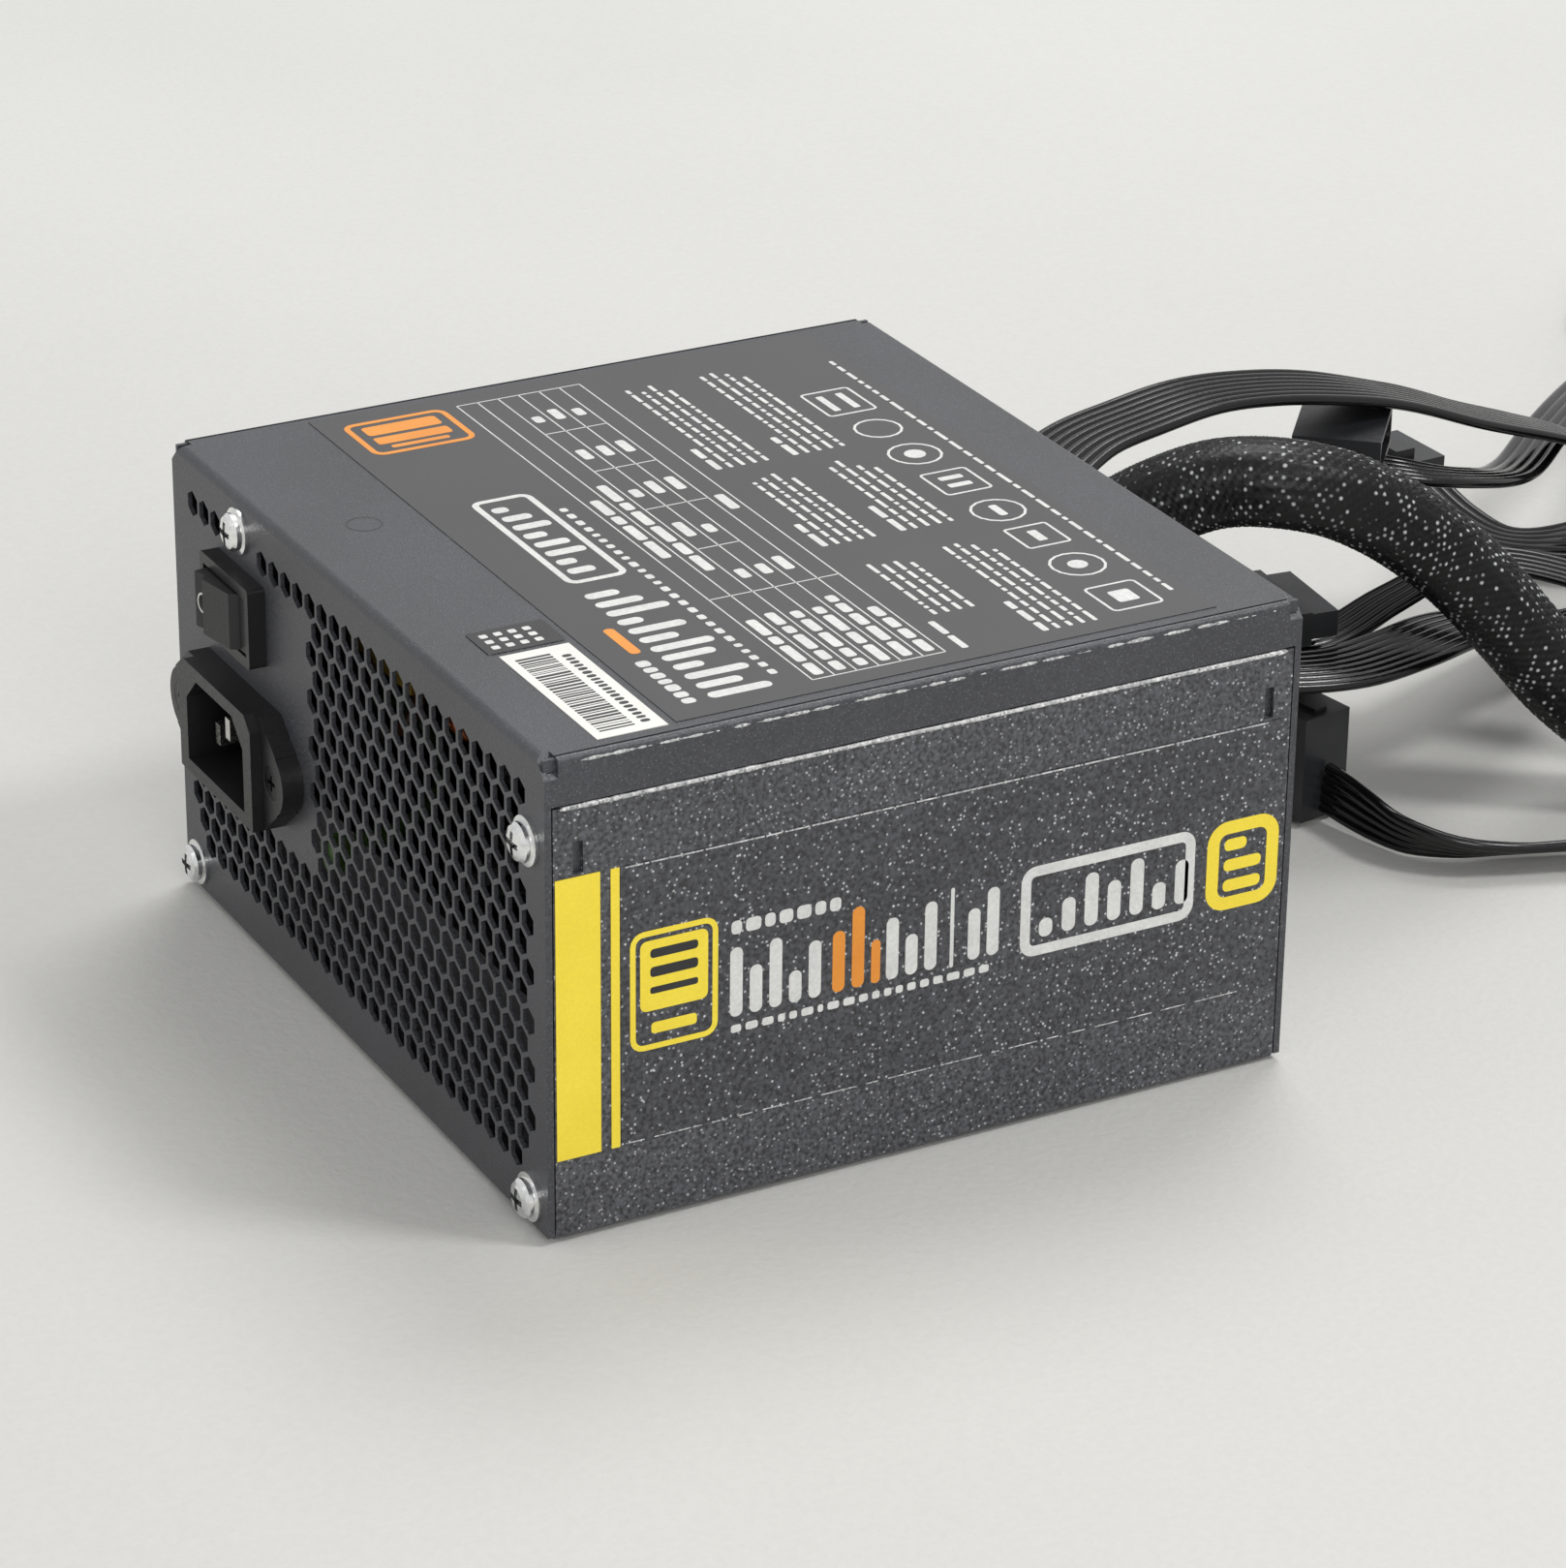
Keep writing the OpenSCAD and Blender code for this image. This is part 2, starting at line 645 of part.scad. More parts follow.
module power_transistors() {
    color("#1b1b1d") {
        for (y = [-22, -8, 6]) under_board(sink_x + sink_t / 2, sink_y + y) transistor();
        for (y = [-18, -6, 6, 18])
            under_board(out_sink_x + sink_t / 2, out_sink_y + y) transistor();
    }
}

module bridge_rectifier() {
    color("#1b1b1d") under_board(sink_x + sink_t / 2 + 0.02, sink_y + 26) {
        translate([0, -11, 6]) cube([3.6, 22, 18]);
        for (y = [-7.6, -2.5, 2.5, 7.6]) translate([1.2, y - 0.5, 0]) cube([0.8, 1, 6.5]);
    }
}

module bulk_capacitor() {
    color("#2b2f55") under_board(-48, 34) difference() {
        rotate_extrude($fn = round_fn)
            polygon([[0, 0], [bulk_d / 2 - 1.2, 0], [bulk_d / 2 - 1.2, 1.2], [bulk_d / 2, 2.4],
                     [bulk_d / 2, bulk_h - 0.8], [bulk_d / 2 - 0.8, bulk_h], [0, bulk_h]]);
        translate([0, 0, bulk_h]) cross_cut(16, 0.4);
    }
}

// a toroid wound all round, standing on its rim, with its axis along y
module wound_ring(outer, hole, width) {
    ring_r = (outer - hole) / 4;
    translate([0, 0, outer / 2 + 1]) rotate([90, 0, 0]) rotate_extrude($fn = round_fn)
        translate([hole / 2 + ring_r, 0]) round_rect(2 * ring_r, width, 3);
    for (s = [-1, 1]) translate([s * 4, 0, 0]) cylinder(r = 0.7, h = 3, $fn = small_fn);
}

module pfc_choke() {
    color("#b5642a") under_board(-45, 4) wound_ring(32, 12, 15);
}

module line_chokes() {
    color("#b5642a") {
        under_board(-53, -19) wound_ring(22, 8, 13);
        under_board(0, -44.5) wound_ring(22, 8, 13);
    }
}

module film_capacitors() {
    color("#e0b93a") {
        under_board(-24, -49) {
            translate([-13, -4.5, 0.5]) cube([26, 9, 18]);
            for (x = [-11, 11]) translate([x, 0, 0]) cylinder(r = 0.4, h = 1, $fn = small_fn);
        }
        under_board(-28, -36) {
            translate([-9, -3.5, 0.5]) cube([18, 7, 14]);
            for (x = [-7, 7]) translate([x, 0, 0]) cylinder(r = 0.4, h = 1, $fn = small_fn);
        }
        under_board(14, 49.5) {
            translate([-8, -3.5, 0.5]) cube([16, 7, 12]);
            for (x = [-6, 6]) translate([x, 0, 0]) cylinder(r = 0.4, h = 1, $fn = small_fn);
        }
    }
}

module line_fuse() {
    color("#cfd3d6") under_board(-33, -27) {
        translate([0, 0, 4]) rotate([0, 90, 0]) {
            cylinder(r = 2.3, h = 20, center = true, $fn = small_fn);
            for (s = [-1, 1]) translate([0, 0, s * 8])
                cylinder(r = 2.6, h = 5, center = true, $fn = small_fn);
        }
        for (s = [-1, 1]) translate([s * 8, 0, 0]) cylinder(r = 0.5, h = 3, $fn = small_fn);
    }
}

module inrush_relay() {
    color("#1f3f7a") {
        under_board(-60, -36) {
            translate([-4, -9.5, 0.3]) cube([8, 19, 15]);
            for (y = [-7, 7]) translate([0, y, 0]) cylinder(r = 0.5, h = 1, $fn = small_fn);
        }
        // the inrush thermistor, a disc on two legs
        under_board(-31, 14) {
            translate([0, 0, 9]) rotate([90, 0, 0]) cylinder(r = 6, h = 4, center = true,
                                                             $fn = round_fn);
            for (s = [-1, 1]) translate([s * 3.5, 0, 0]) cylinder(r = 0.4, h = 5, $fn = small_fn);
        }
    }
}

// a ferrite core round a taped winding, on a bobbin that stands on the board
module transformer(w, d, h) {
    difference() {
        translate([-w / 2, -d / 2, 2]) cube([w, d, h - 2]);
        for (s = [-1, 1])
            translate([s * w / 4 - w / 8, -d / 2 - 1, 2 + h / 6]) cube([w / 4, d + 2, h * 2 / 3 - 2]);
    }
    for (s = [-1, 1]) translate([s * w / 4 - w / 8 + 0.1, -d / 2 - 3, 2.1 + h / 6])
        cube([w / 4 - 0.2, d + 6, h * 2 / 3 - 2.2]);
    for (s = [-1, 1], t = [-1, 0, 1])
        translate([t * w / 4, s * (d / 2 - 2), 0]) cylinder(r = 0.6, h = 2.5, $fn = small_fn);
}

module main_transformer() {
    color("#3c3a36") under_board(10, -10) transformer(36, 30, 34);
}

module standby_transformer() {
    color("#3c3a36") under_board(8, 26) transformer(20, 16, 20);
}

module output_capacitors() {
    spots = [[56, -2], [56, 9], [56, 20], [56, 31], [44, 22], [44, 33], [56, 42], [44, 44]];
    color("#26304f") for (p = spots) under_board(p[0], p[1]) difference() {
        rotate_extrude($fn = round_fn)
            polygon([[0, 0], [4.4, 0], [4.4, 0.8], [5, 1.6], [5, 24.5], [4.5, 25], [0, 25]]);
        translate([0, 0, 25]) cross_cut(6, 0.3);
    }
}

module output_chokes() {
    color("#9c4f22") {
        under_board(28, 36) wound_ring(20, 7, 10);
        under_board(28, 22) wound_ring(20, 7, 10);
    }
}

module converter_boards() {
    color("#2f6b3a") {
        for (y = [-40, -29]) under_board(57, y) {
            translate([-9, -0.8, 0]) cube([18, 1.6, 28]);
            translate([-6, 0.79, 8]) cube([12, 3.2, 12]);
            for (x = [-5.5, 1.5]) translate([x, -2.6, 10]) cube([4, 1.81, 8]);
        }
    }
}

module control_board() {
    color("#2f6b3a") under_board(34, 52.4) {
        translate([-11, -0.8, 0]) cube([22, 1.6, 20]);
        for (x = [-8, 2]) translate([x, 0.79, 6]) cube([6, 1.6, 9]);
        for (x = [-9, -3, 3]) translate([x, -2.2, 4]) cube([3, 1.41, 2]);
    }
}

// ---- fan ----

strut_t = 3;
module fan_frame() {
    color("#17181a") {
        difference() {
            translate([0, 0, fan_z + 0.02]) linear_extrude(fan_t - 0.02)
                round_rect(fan_size, fan_size, 5);
            translate([0, 0, fan_z - 1]) cylinder(r = bore_r, h = fan_t + 2, $fn = round_fn);
            // the waist between the two flanges, left solid at the corners' screw posts
            for (a = [0 : 90 : 270]) rotate(a)
                translate([-fan_size / 2 + 14, fan_size / 2 - 1.0, fan_z + 4])
                    cube([fan_size - 28, 3, fan_t - 8]);
            for (x = [-1, 1], y = [-1, 1])
                translate([x * fan_pitch / 2, y * fan_pitch / 2, fan_z - 1])
                    cylinder(r = 2, h = fan_t + 2, $fn = small_fn);
        }
        // motor plate on four struts, with the post that holds the bearing
        translate([0, 0, fan_top - strut_t]) difference() {
            union() {
                cylinder(r = hub_r - 1, h = strut_t, $fn = round_fn);
                for (a = [0 : 90 : 270]) rotate(a + 25) translate([hub_r - 4, -2, 0])
                    cube([bore_r - hub_r + 5, 4, strut_t]);
                translate([0, 0, -12]) cylinder(r = 5.4, h = 13, $fn = round_fn);
            }
            translate([0, 0, -13]) cylinder(r = 3.5 + fit, h = 14, $fn = small_fn);
        }
    }
}

module fan_bearing() {
    color("#c7a24a") translate([0, 0, fan_top - strut_t - 12]) difference() {
        cylinder(r = 3.5, h = 12.9, $fn = small_fn);
        translate([0, 0, -1]) cylinder(r = shaft_r + fit, h = 12.5, $fn = small_fn);
    }
}

hub_z = fan_z + 2.2;
module fan_shaft() {
    color("#c9c9c4") translate([0, 0, hub_z + 1.2])
        cylinder(r = shaft_r, h = fan_top - strut_t - 1.2 - hub_z - 1.2, $fn = small_fn);
}

module fan_rotor() {
    blade_tip = bore_r - 1.2;
    color("#1d1e20") {
        difference() {
            translate([0, 0, hub_z]) cylinder(r = hub_r, h = 16.5, $fn = round_fn);
            translate([0, 0, hub_z + 1.6]) difference() {
                cylinder(r = hub_r - 1.6, h = 16, $fn = round_fn);
                translate([0, 0, -1]) cylinder(r = shaft_r + 1.5, h = 3.6, $fn = small_fn);
            }
            translate([0, 0, hub_z + 1.2]) cylinder(r = shaft_r, h = 5, $fn = small_fn);
        }
        intersection() {
            translate([0, 0, hub_z]) difference() {
                cylinder(r = blade_tip, h = 16.5, $fn = round_fn);
                translate([0, 0, -1]) cylinder(r = hub_r - 0.6, h = 19, $fn = round_fn);
            }
            union() for (i = [0 : blade_count - 1]) rotate(i * 360 / blade_count)
                translate([0, 0, hub_z + 8.25]) rotate([36, 0, 0])
                    translate([hub_r - 2, -17, -0.8]) cube([blade_tip - hub_r + 4, 34, 1.6]);
        }
    }
}

guard_z = bay_depth - wire_r;
module fan_guard() {
    rings = 6;
    inner_ring = 14;
    outer_ring = bore_r - 1;
    reach = fan_pitch / 2 * sqrt(2);
    loop_r = 3.6;
    color("#b9bbbd") {
        for (i = [0 : rings - 1])
            translate([0, 0, guard_z - 1.3]) rotate_extrude($fn = round_fn)
                translate([inner_ring + i * (outer_ring - inner_ring) / (rings - 1), 0])
                    circle(wire_r, $fn = small_fn);
        for (a = [45 : 90 : 315]) rotate(a) {
            translate([inner_ring - 1.5, 0, guard_z - 0.02]) rotate([0, 90, 0])
                cylinder(r = wire_r, h = reach - loop_r - inner_ring + 1.5, $fn = small_fn);
            translate([reach, 0, guard_z - 0.02]) rotate_extrude($fn = round_fn)
                translate([loop_r, 0]) circle(wire_r, $fn = small_fn);
        }
    }
}

module fan_screws() {
    color("#c9c9c4")
        for (x = [-1, 1], y = [-1, 1])
            translate([x * fan_pitch / 2, y * fan_pitch / 2, 0]) difference() {
                union() {
                    translate([0, 0, guard_z - wire_r - 1.75])
                        cylinder(r = 4.4, h = 1.7, $fn = round_fn);
                    translate([0, 0, guard_z - wire_r - 0.5])
                        cylinder(r = 2 - fit, h = 11, $fn = small_fn);
                }
                translate([0, 0, guard_z - wire_r - 1.8]) cross_cut(4, 0.9);
            }
}

plug_x = 50;
plug_y = 54;
module fan_lead() {
    color("#1b1b1d") for (k = [0, 1])
        cable(smooth([for (p = [[14, 3, fan_top + 1.3], [24, 18, fan_top + 1.4],
                                [38, 38, fan_top + 1.8], [48, 50, 41], [plug_x + 1, 53, 54],
                                [plug_x + 1, 53, board_z - 12.5]])
                          [p[0] - 1.7 * k, p[1] + 1.4 * k, p[2], 0]], 3), 0.8, 0.8, 8);
}

module fan_plug() {
    color("#e6e3d8") under_board(plug_x, plug_y) {
        translate([-3, -4, 0.2]) cube([6, 8, 5]);
        translate([-2.4, -3.6, 5.01]) cube([4.8, 7.2, 7]);
    }
}

// ---- cable exit and inner wires ----

module cable_grommet() {
    color("#1d1e20") translate([exit_x, 0, exit_z]) difference() {
        union() {
            on_rear(front + 0.02, front + grommet_lip)
                round_rect(exit_w + 2 * grommet_lip, exit_h + 2 * grommet_lip, 6);
            on_rear(front - sheet - 2, front + 0.5) round_rect(exit_w - 0.2, exit_h - 0.2, 4.9);
        }
        on_rear(front - sheet - 3, front + grommet_lip + 1)
            round_rect(exit_w - 2 * grommet_wall, exit_h - 2 * grommet_wall, 3.5);
    }
}

module output_wires() {
    pads = [[-34, 47], [-30, 42], [-24, 44], [-4, 42], [2, 44], [8, 41]];
    color("#2a2a2d") for (i = [0 : len(pads) - 1])
        cable(smooth([[pads[i][0], pads[i][1], board_z - 1.1, 0],
                      [pads[i][0], pads[i][1], board_z - 8, 0],
                      [exit_x - 13 + i * 5.2, 50, exit_z + 4, 0],
                      [exit_x - 13 + i * 5.2, 58, exit_z - 1, 0],
                      [exit_x - 13 + i * 5.2, 66.4, exit_z - 2, 0]], 3), 2.4, 2.4, 8);
}

// ---- free cables: each route is a list of [x, y, z, turn] points ----

main_route = [
    [-20, 68, 50.4, 0], [-20, 74, 51.6, 0], [-18, 86, 58.5, 0], [-13, 97, 65.5, 0],
    [-8, 107, 69.5, 0], [-2, 117, 69.8, 0], [1, 127, 67, 0], [2, 137, 61.5, 0], [3, 147, 54, 0],
    [6, 156, 45, 0], [9, 164, 35, 0], [13, 172, 25, 0], [19, 184, 15, 0], [26, 198, 9.8, 0],
    [35, 218, 9, 0], [45, 240, 9, 0], [52, 264, 9, 0], [55, 290, 9, 0], [51, 316, 9, 0],
    [40, 337, 9, 0], [24, 350, 9, 0], [6, 354, 9, 0]
];
cpu_route = [
    [-25, 68, 64.8, 0], [-26, 74, 65.2, 0], [-31, 84, 68.2, 0], [-37, 95, 69.8, 0],
    [-41, 109, 70.5, 0], [-44, 125, 71, 0], [-45, 141, 69.5, 0], [-45, 157, 66.5, 0],
    [-47, 175, 60.5, 0], [-48, 191, 54, 0], [-51, 209, 47, 0], [-56, 229, 38, 0],
    [-64, 248, 26, 15], [-72, 264, 15, 50], [-79, 279, 8.8, 85], [-90, 292, 8.8, 90],
    [-100.6, 303, 8.8, 90]
];
cpu_back = [
    [-33.4, 329, 8.8, 90], [-32, 342, 8.6, 80], [-31, 354, 7.6, 50], [-32, 366, 5.8, 15],
    [-36, 378, 5.2, 0], [-42, 388, 5.2, 0]
];
pcie_route = [
    [-20, 68, 40.2, 0], [-20, 74, 39.8, 0], [-15, 90, 36.5, 0], [-10, 106, 32.5, 0],
    [-6, 120, 30, 0], [-4, 134, 29, 0], [-6, 148, 29, 0], [-11, 161, 28, 0], [-17, 173, 25, 0],
    [-25, 185, 19.5, 0], [-34, 199, 13, 0], [-42, 213, 9, 15], [-47, 229, 8.6, 55],
    [-50, 245, 8.8, 90], [-54.8, 262, 8.8, 90]
];
pcie_back = [
    [-52.5, 285.5, 8.8, 90], [-60, 268, 8.8, 85], [-68, 251, 7.8, 55], [-80, 239, 4.6, 18],
    [-95, 232, 2, 0], [-108, 230, 3, 0], [-120, 229.5, 5.6, 0]
];
sata_route = [
    [-35, 68, 50, 0], [-35, 74, 49.6, 0], [-38, 90, 46, 0], [-42, 106, 44, 0],
    [-47, 122, 44.5, 0], [-50, 137, 47, 0], [-46, 150, 50, 0], [-39, 160, 52, 0],
    [-34, 172, 50, 0], [-38, 188, 45, 0], [-51, 205, 39, 0], [-67, 223, 37, 0],
    [-84, 243, 35, 0], [-102, 264, 31, 0], [-124, 282, 19, 0], [-145, 299.5, 10, 20],
    [-162, 313.5, 6.4, 55], [-177, 323.6, 5.8, 90]
];
sata_back = [
    [-135.8, 352.8, 5.8, 90], [-134, 364, 5.8, 85], [-134, 376, 5, 60], [-138, 387, 3, 20],
    [-144, 396, 2.4, 0], [-151, 403, 3.8, 0]
];
drive_route = [
    [-34, 68, 38.4, 0], [-34, 74, 38.2, 0], [-32, 88, 36, 0], [-29, 106, 31.5, 0],
    [-25, 124, 28, 0], [-23, 142, 26, 0], [-22, 156, 31.6, 0], [-17, 170, 38.5, 0],
    [-5, 187, 37, 0], [10, 201, 30, 0], [29, 211, 22.4, 0], [46, 216, 17, 5], [57, 215, 11, 35],
    [66, 208.6, 6.6, 75], [72.6, 201, 5.8, 90]
];
drive_back = [
    [94, 188.6, 5.8, -90], [79, 187, 5.6, -70], [64, 186, 5, -50], [50, 180, 4.2, -32],
    [41, 170, 3.7, -28], [36, 160, 3.7, -28], [32, 149, 3.7, -28], [28, 139, 4.5, -40],
    [21, 132.4, 5.5, -62], [13, 130.6, 6, -80], [6, 129.6, 6.6, -90], [0, 128.6, 7.2, -90]
];
cpu_ring = [-74, 334, 24, 39];
pcie_ring = [-14, 270, 24, 40];
sata_ring = [-171, 359, 20, 34];
drive_ring = [100, 224, 20, 34];

// where a plug sits past the end of a route: [x, y, z, heading]
function past(route, gap) =
    let (n = len(route) - 1, p = route[n], q = route[n - 1],
         t = unit([p[0] - q[0], p[1] - q[1], 0]))
        [p[0] + gap * t[0], p[1] + gap * t[1], p[2], atan2(t[1], t[0])];
// the same, moved sideways by w
function beside(e, w) = [e[0] - w * sin(e[3]), e[1] + w * cos(e[3]), e[2], e[3]];

main_end = past(main_route, 0.4);
cpu_ends = [for (w = [-4.95, 4.95]) beside(past(cpu_back, 0.5), w)];
pcie_end = past(pcie_back, 0.9);
sata_spots = [[-47.3, 150.1, 57.4, 50], past(sata_back, 0.5)];
drive_spots = [past(drive_back, 0.5), [-26.8, 126, 32.6, 84]];

module main_cable() {
    color("#141416") cable(main_route, sleeve_d / 2, sleeve_d / 2, 12);
}
module cpu_cable() {
    color("#141416") {
        ribbon(cpu_route, wide_wires);
        ribbon(cpu_back, wide_wires);
    }
}
module pcie_cable() {
    color("#141416") {
        ribbon(pcie_route, wide_wires);
        ribbon(pcie_back, wide_wires);
    }
}
module sata_cable() {
    color("#141416") {
        ribbon(sata_route, narrow_wires);
        ribbon(sata_back, narrow_wires);
    }
}
module drive_cable() {
    color("#141416") {
        ribbon(drive_route, narrow_wires);
        ribbon(drive_back, narrow_wires);
    }
}
module cpu_coil() {
    color("#141416") flat_coil(cpu_ring, cpu_ring[2], cpu_ring[3], wide_wires * wire_d);
}
module pcie_coil() {
    color("#141416") flat_coil(pcie_ring, pcie_ring[2], pcie_ring[3], wide_wires * wire_d);
}
module sata_coil() {
    color("#141416") flat_coil(sata_ring, sata_ring[2], sata_ring[3], narrow_wires * wire_d);
}
module drive_coil() {
    color("#141416") flat_coil(drive_ring, drive_ring[2], drive_ring[3], narrow_wires * wire_d);
}

// places a plug at its spot: the wires enter at x = 0 and it reaches along +x
module at_spot(s) {
    translate([s[0], s[1], s[2]]) rotate(s[3]) children();
}

// a housing of square cells in two rows, open at the far end, with its latch on top
module cell_plug(columns, length = 17) {
    cell = 4.2;
    w = columns * cell + 1.2;
    h = 2 * cell + 1.4;
    difference() {
        translate([0, -w / 2, -h / 2]) cube([length, w, h]);
        for (i = [0 : columns - 1], j = [0, 1])
            translate([length - 9, -w / 2 + 1.05 + i * cell, -h / 2 + 1.15 + j * cell])
                cube([10, cell - 0.9, cell - 0.9]);
    }
    translate([2, -2.4, h / 2 - 0.01]) cube([3, 4.8, 1.6]);
    translate([2, -2.4, h / 2 + 1.2]) cube([12, 4.8, 1.2]);
    translate([length - 5, -2.4, h / 2 - 0.01]) cube([1.6, 4.8, 1.3]);
}

// a drive plug: a flat body with a narrower tongue shroud
module drive_plug() {
    difference() {
        union() {
            translate([0, -11, -3.4]) cube([9, 22, 6.8]);
            translate([8.9, -10, -2.6]) cube([6, 20, 5.2]);
        }
        translate([8, -9, -1.1]) cube([8, 18, 2.2]);
    }
}

// a plug for a drive's power pins: a block with a round-cornered mouth
module block_plug(h) {
    difference() {
        union() {
            translate([0, -10.5, -h / 2]) cube([17, 21, h]);
            for (s = [-1, 1])
                translate([2, s * 10.5 - 0.6, -1.5]) cube([11, 1.2, 3]);
        }
        translate([8, 0, 0]) rotate([0, 90, 0]) linear_extrude(10)
            round_rect(h - 2.4, 18.4, 1.6);
    }
}

module main_plug() {
    color("#1a1b1d") at_spot(main_end) cell_plug(12);
}
module cpu_plugs() {
    color("#1a1b1d") for (s = cpu_ends) at_spot(s) cell_plug(2);
}
module pcie_plug() {
    color("#1a1b1d") at_spot(pcie_end) cell_plug(4);
}
module sata_plugs() {
    color("#1a1b1d") {
        at_spot(sata_spots[0]) block_plug(8);
        at_spot(sata_spots[1]) drive_plug();
    }
}
module drive_plugs() {
    color("#1a1b1d") {
        // this one stands on its edge
        at_spot([drive_spots[0][0], drive_spots[0][1], 11.5, drive_spots[0][3]])
            rotate([90, 0, 0]) block_plug(11);
        at_spot(drive_spots[1]) drive_plug();
    }
}

chassis();
cover();
cover_screws();
mounting_screws();
rating_label();
barcode_sticker();
side_film();
side_stripes();
inlet_body();
inlet_pins();
inlet_screws();
switch_housing();
switch_rocker();
switch_terminals();
ac_wires();
earth_wire();
main_board();
board_standoffs();
board_screws();
insulation_sheet();
primary_heatsink();
secondary_heatsink();
power_transistors();
bridge_rectifier();
bulk_capacitor();
pfc_choke();
line_chokes();
film_capacitors();
line_fuse();
inrush_relay();
main_transformer();
standby_transformer();
output_capacitors();
output_chokes();
converter_boards();
control_board();
fan_frame();
fan_rotor();
fan_bearing();
fan_shaft();
fan_guard();
fan_screws();
fan_lead();
fan_plug();
cable_grommet();
output_wires();
main_cable();
main_plug();
cpu_cable();
cpu_coil();
cpu_plugs();
pcie_cable();
pcie_coil();
pcie_plug();
sata_cable();
sata_coil();
sata_plugs();
drive_cable();
drive_coil();
drive_plugs();
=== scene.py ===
import math

import bpy
import numpy as np
from mathutils import Matrix, Vector


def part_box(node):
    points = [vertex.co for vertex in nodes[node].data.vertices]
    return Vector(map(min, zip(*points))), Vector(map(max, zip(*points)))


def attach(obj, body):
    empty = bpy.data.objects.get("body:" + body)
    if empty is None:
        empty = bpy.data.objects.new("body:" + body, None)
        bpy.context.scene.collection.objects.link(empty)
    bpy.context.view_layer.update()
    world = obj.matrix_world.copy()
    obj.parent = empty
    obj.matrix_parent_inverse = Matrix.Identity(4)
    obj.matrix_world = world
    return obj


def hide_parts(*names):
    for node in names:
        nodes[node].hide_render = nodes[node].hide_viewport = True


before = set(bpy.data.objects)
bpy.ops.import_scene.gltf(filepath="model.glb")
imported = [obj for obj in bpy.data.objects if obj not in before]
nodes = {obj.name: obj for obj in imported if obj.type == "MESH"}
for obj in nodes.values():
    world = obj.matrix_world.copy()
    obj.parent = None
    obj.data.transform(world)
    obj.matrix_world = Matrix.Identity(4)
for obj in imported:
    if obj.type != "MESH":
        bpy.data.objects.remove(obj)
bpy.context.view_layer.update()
print("frame loaded:", len(nodes), "nodes")


cameraView = {
    "place": (0.7664, -0.4031, 0.4459),
    "aside": (0.47289, 0.88107, 0.0099),
    "upward": (-0.38151, 0.1946, 0.90365),
    "ahead": (-0.79425, 0.4311, -0.42816),
    "lens": 125.7,
}


def makeCamera(look):
    camera = bpy.data.cameras.new("mainCamera")
    camera.lens = look["lens"]
    camera.sensor_width = 36
    camera.clip_start, camera.clip_end = 0.02, 30
    holder = bpy.data.objects.new("mainCamera", camera)
    bpy.context.scene.collection.objects.link(holder)
    turn = Matrix((look["aside"], look["upward"], [-a for a in look["ahead"]])).transposed()
    holder.matrix_world = Matrix.Translation(look["place"]) @ turn.to_4x4()
    bpy.context.scene.camera = holder


makeCamera(cameraView)
bpy.context.scene.view_settings.view_transform = "Standard"


stageLook = {
    "side": 3.2,
    "count": 161,
    "aim": (0, 0, 0.04),
    "floorColour": (0.64, 0.635, 0.61),
    # farLitColour: painted light, the paler tone the far cloth takes towards the bright backdrop
    "farLitColour": (0.76, 0.76, 0.735),
    "world": 0.5,
    "backdrop": 0.74,
    "lamps": [
        ("keyLamp", (-0.65, 0.65, 1.5), 0.9, 12.5),
        ("rimLamp", (0.62, 0.62, 1.2), 0.3, 6.5),
        ("sideLamp", (1.6, -0.4, 0.9), 0.8, 9.0),
        ("rearLamp", (-0.4, -1.6, 0.7), 0.9, 4.5),
    ],
}


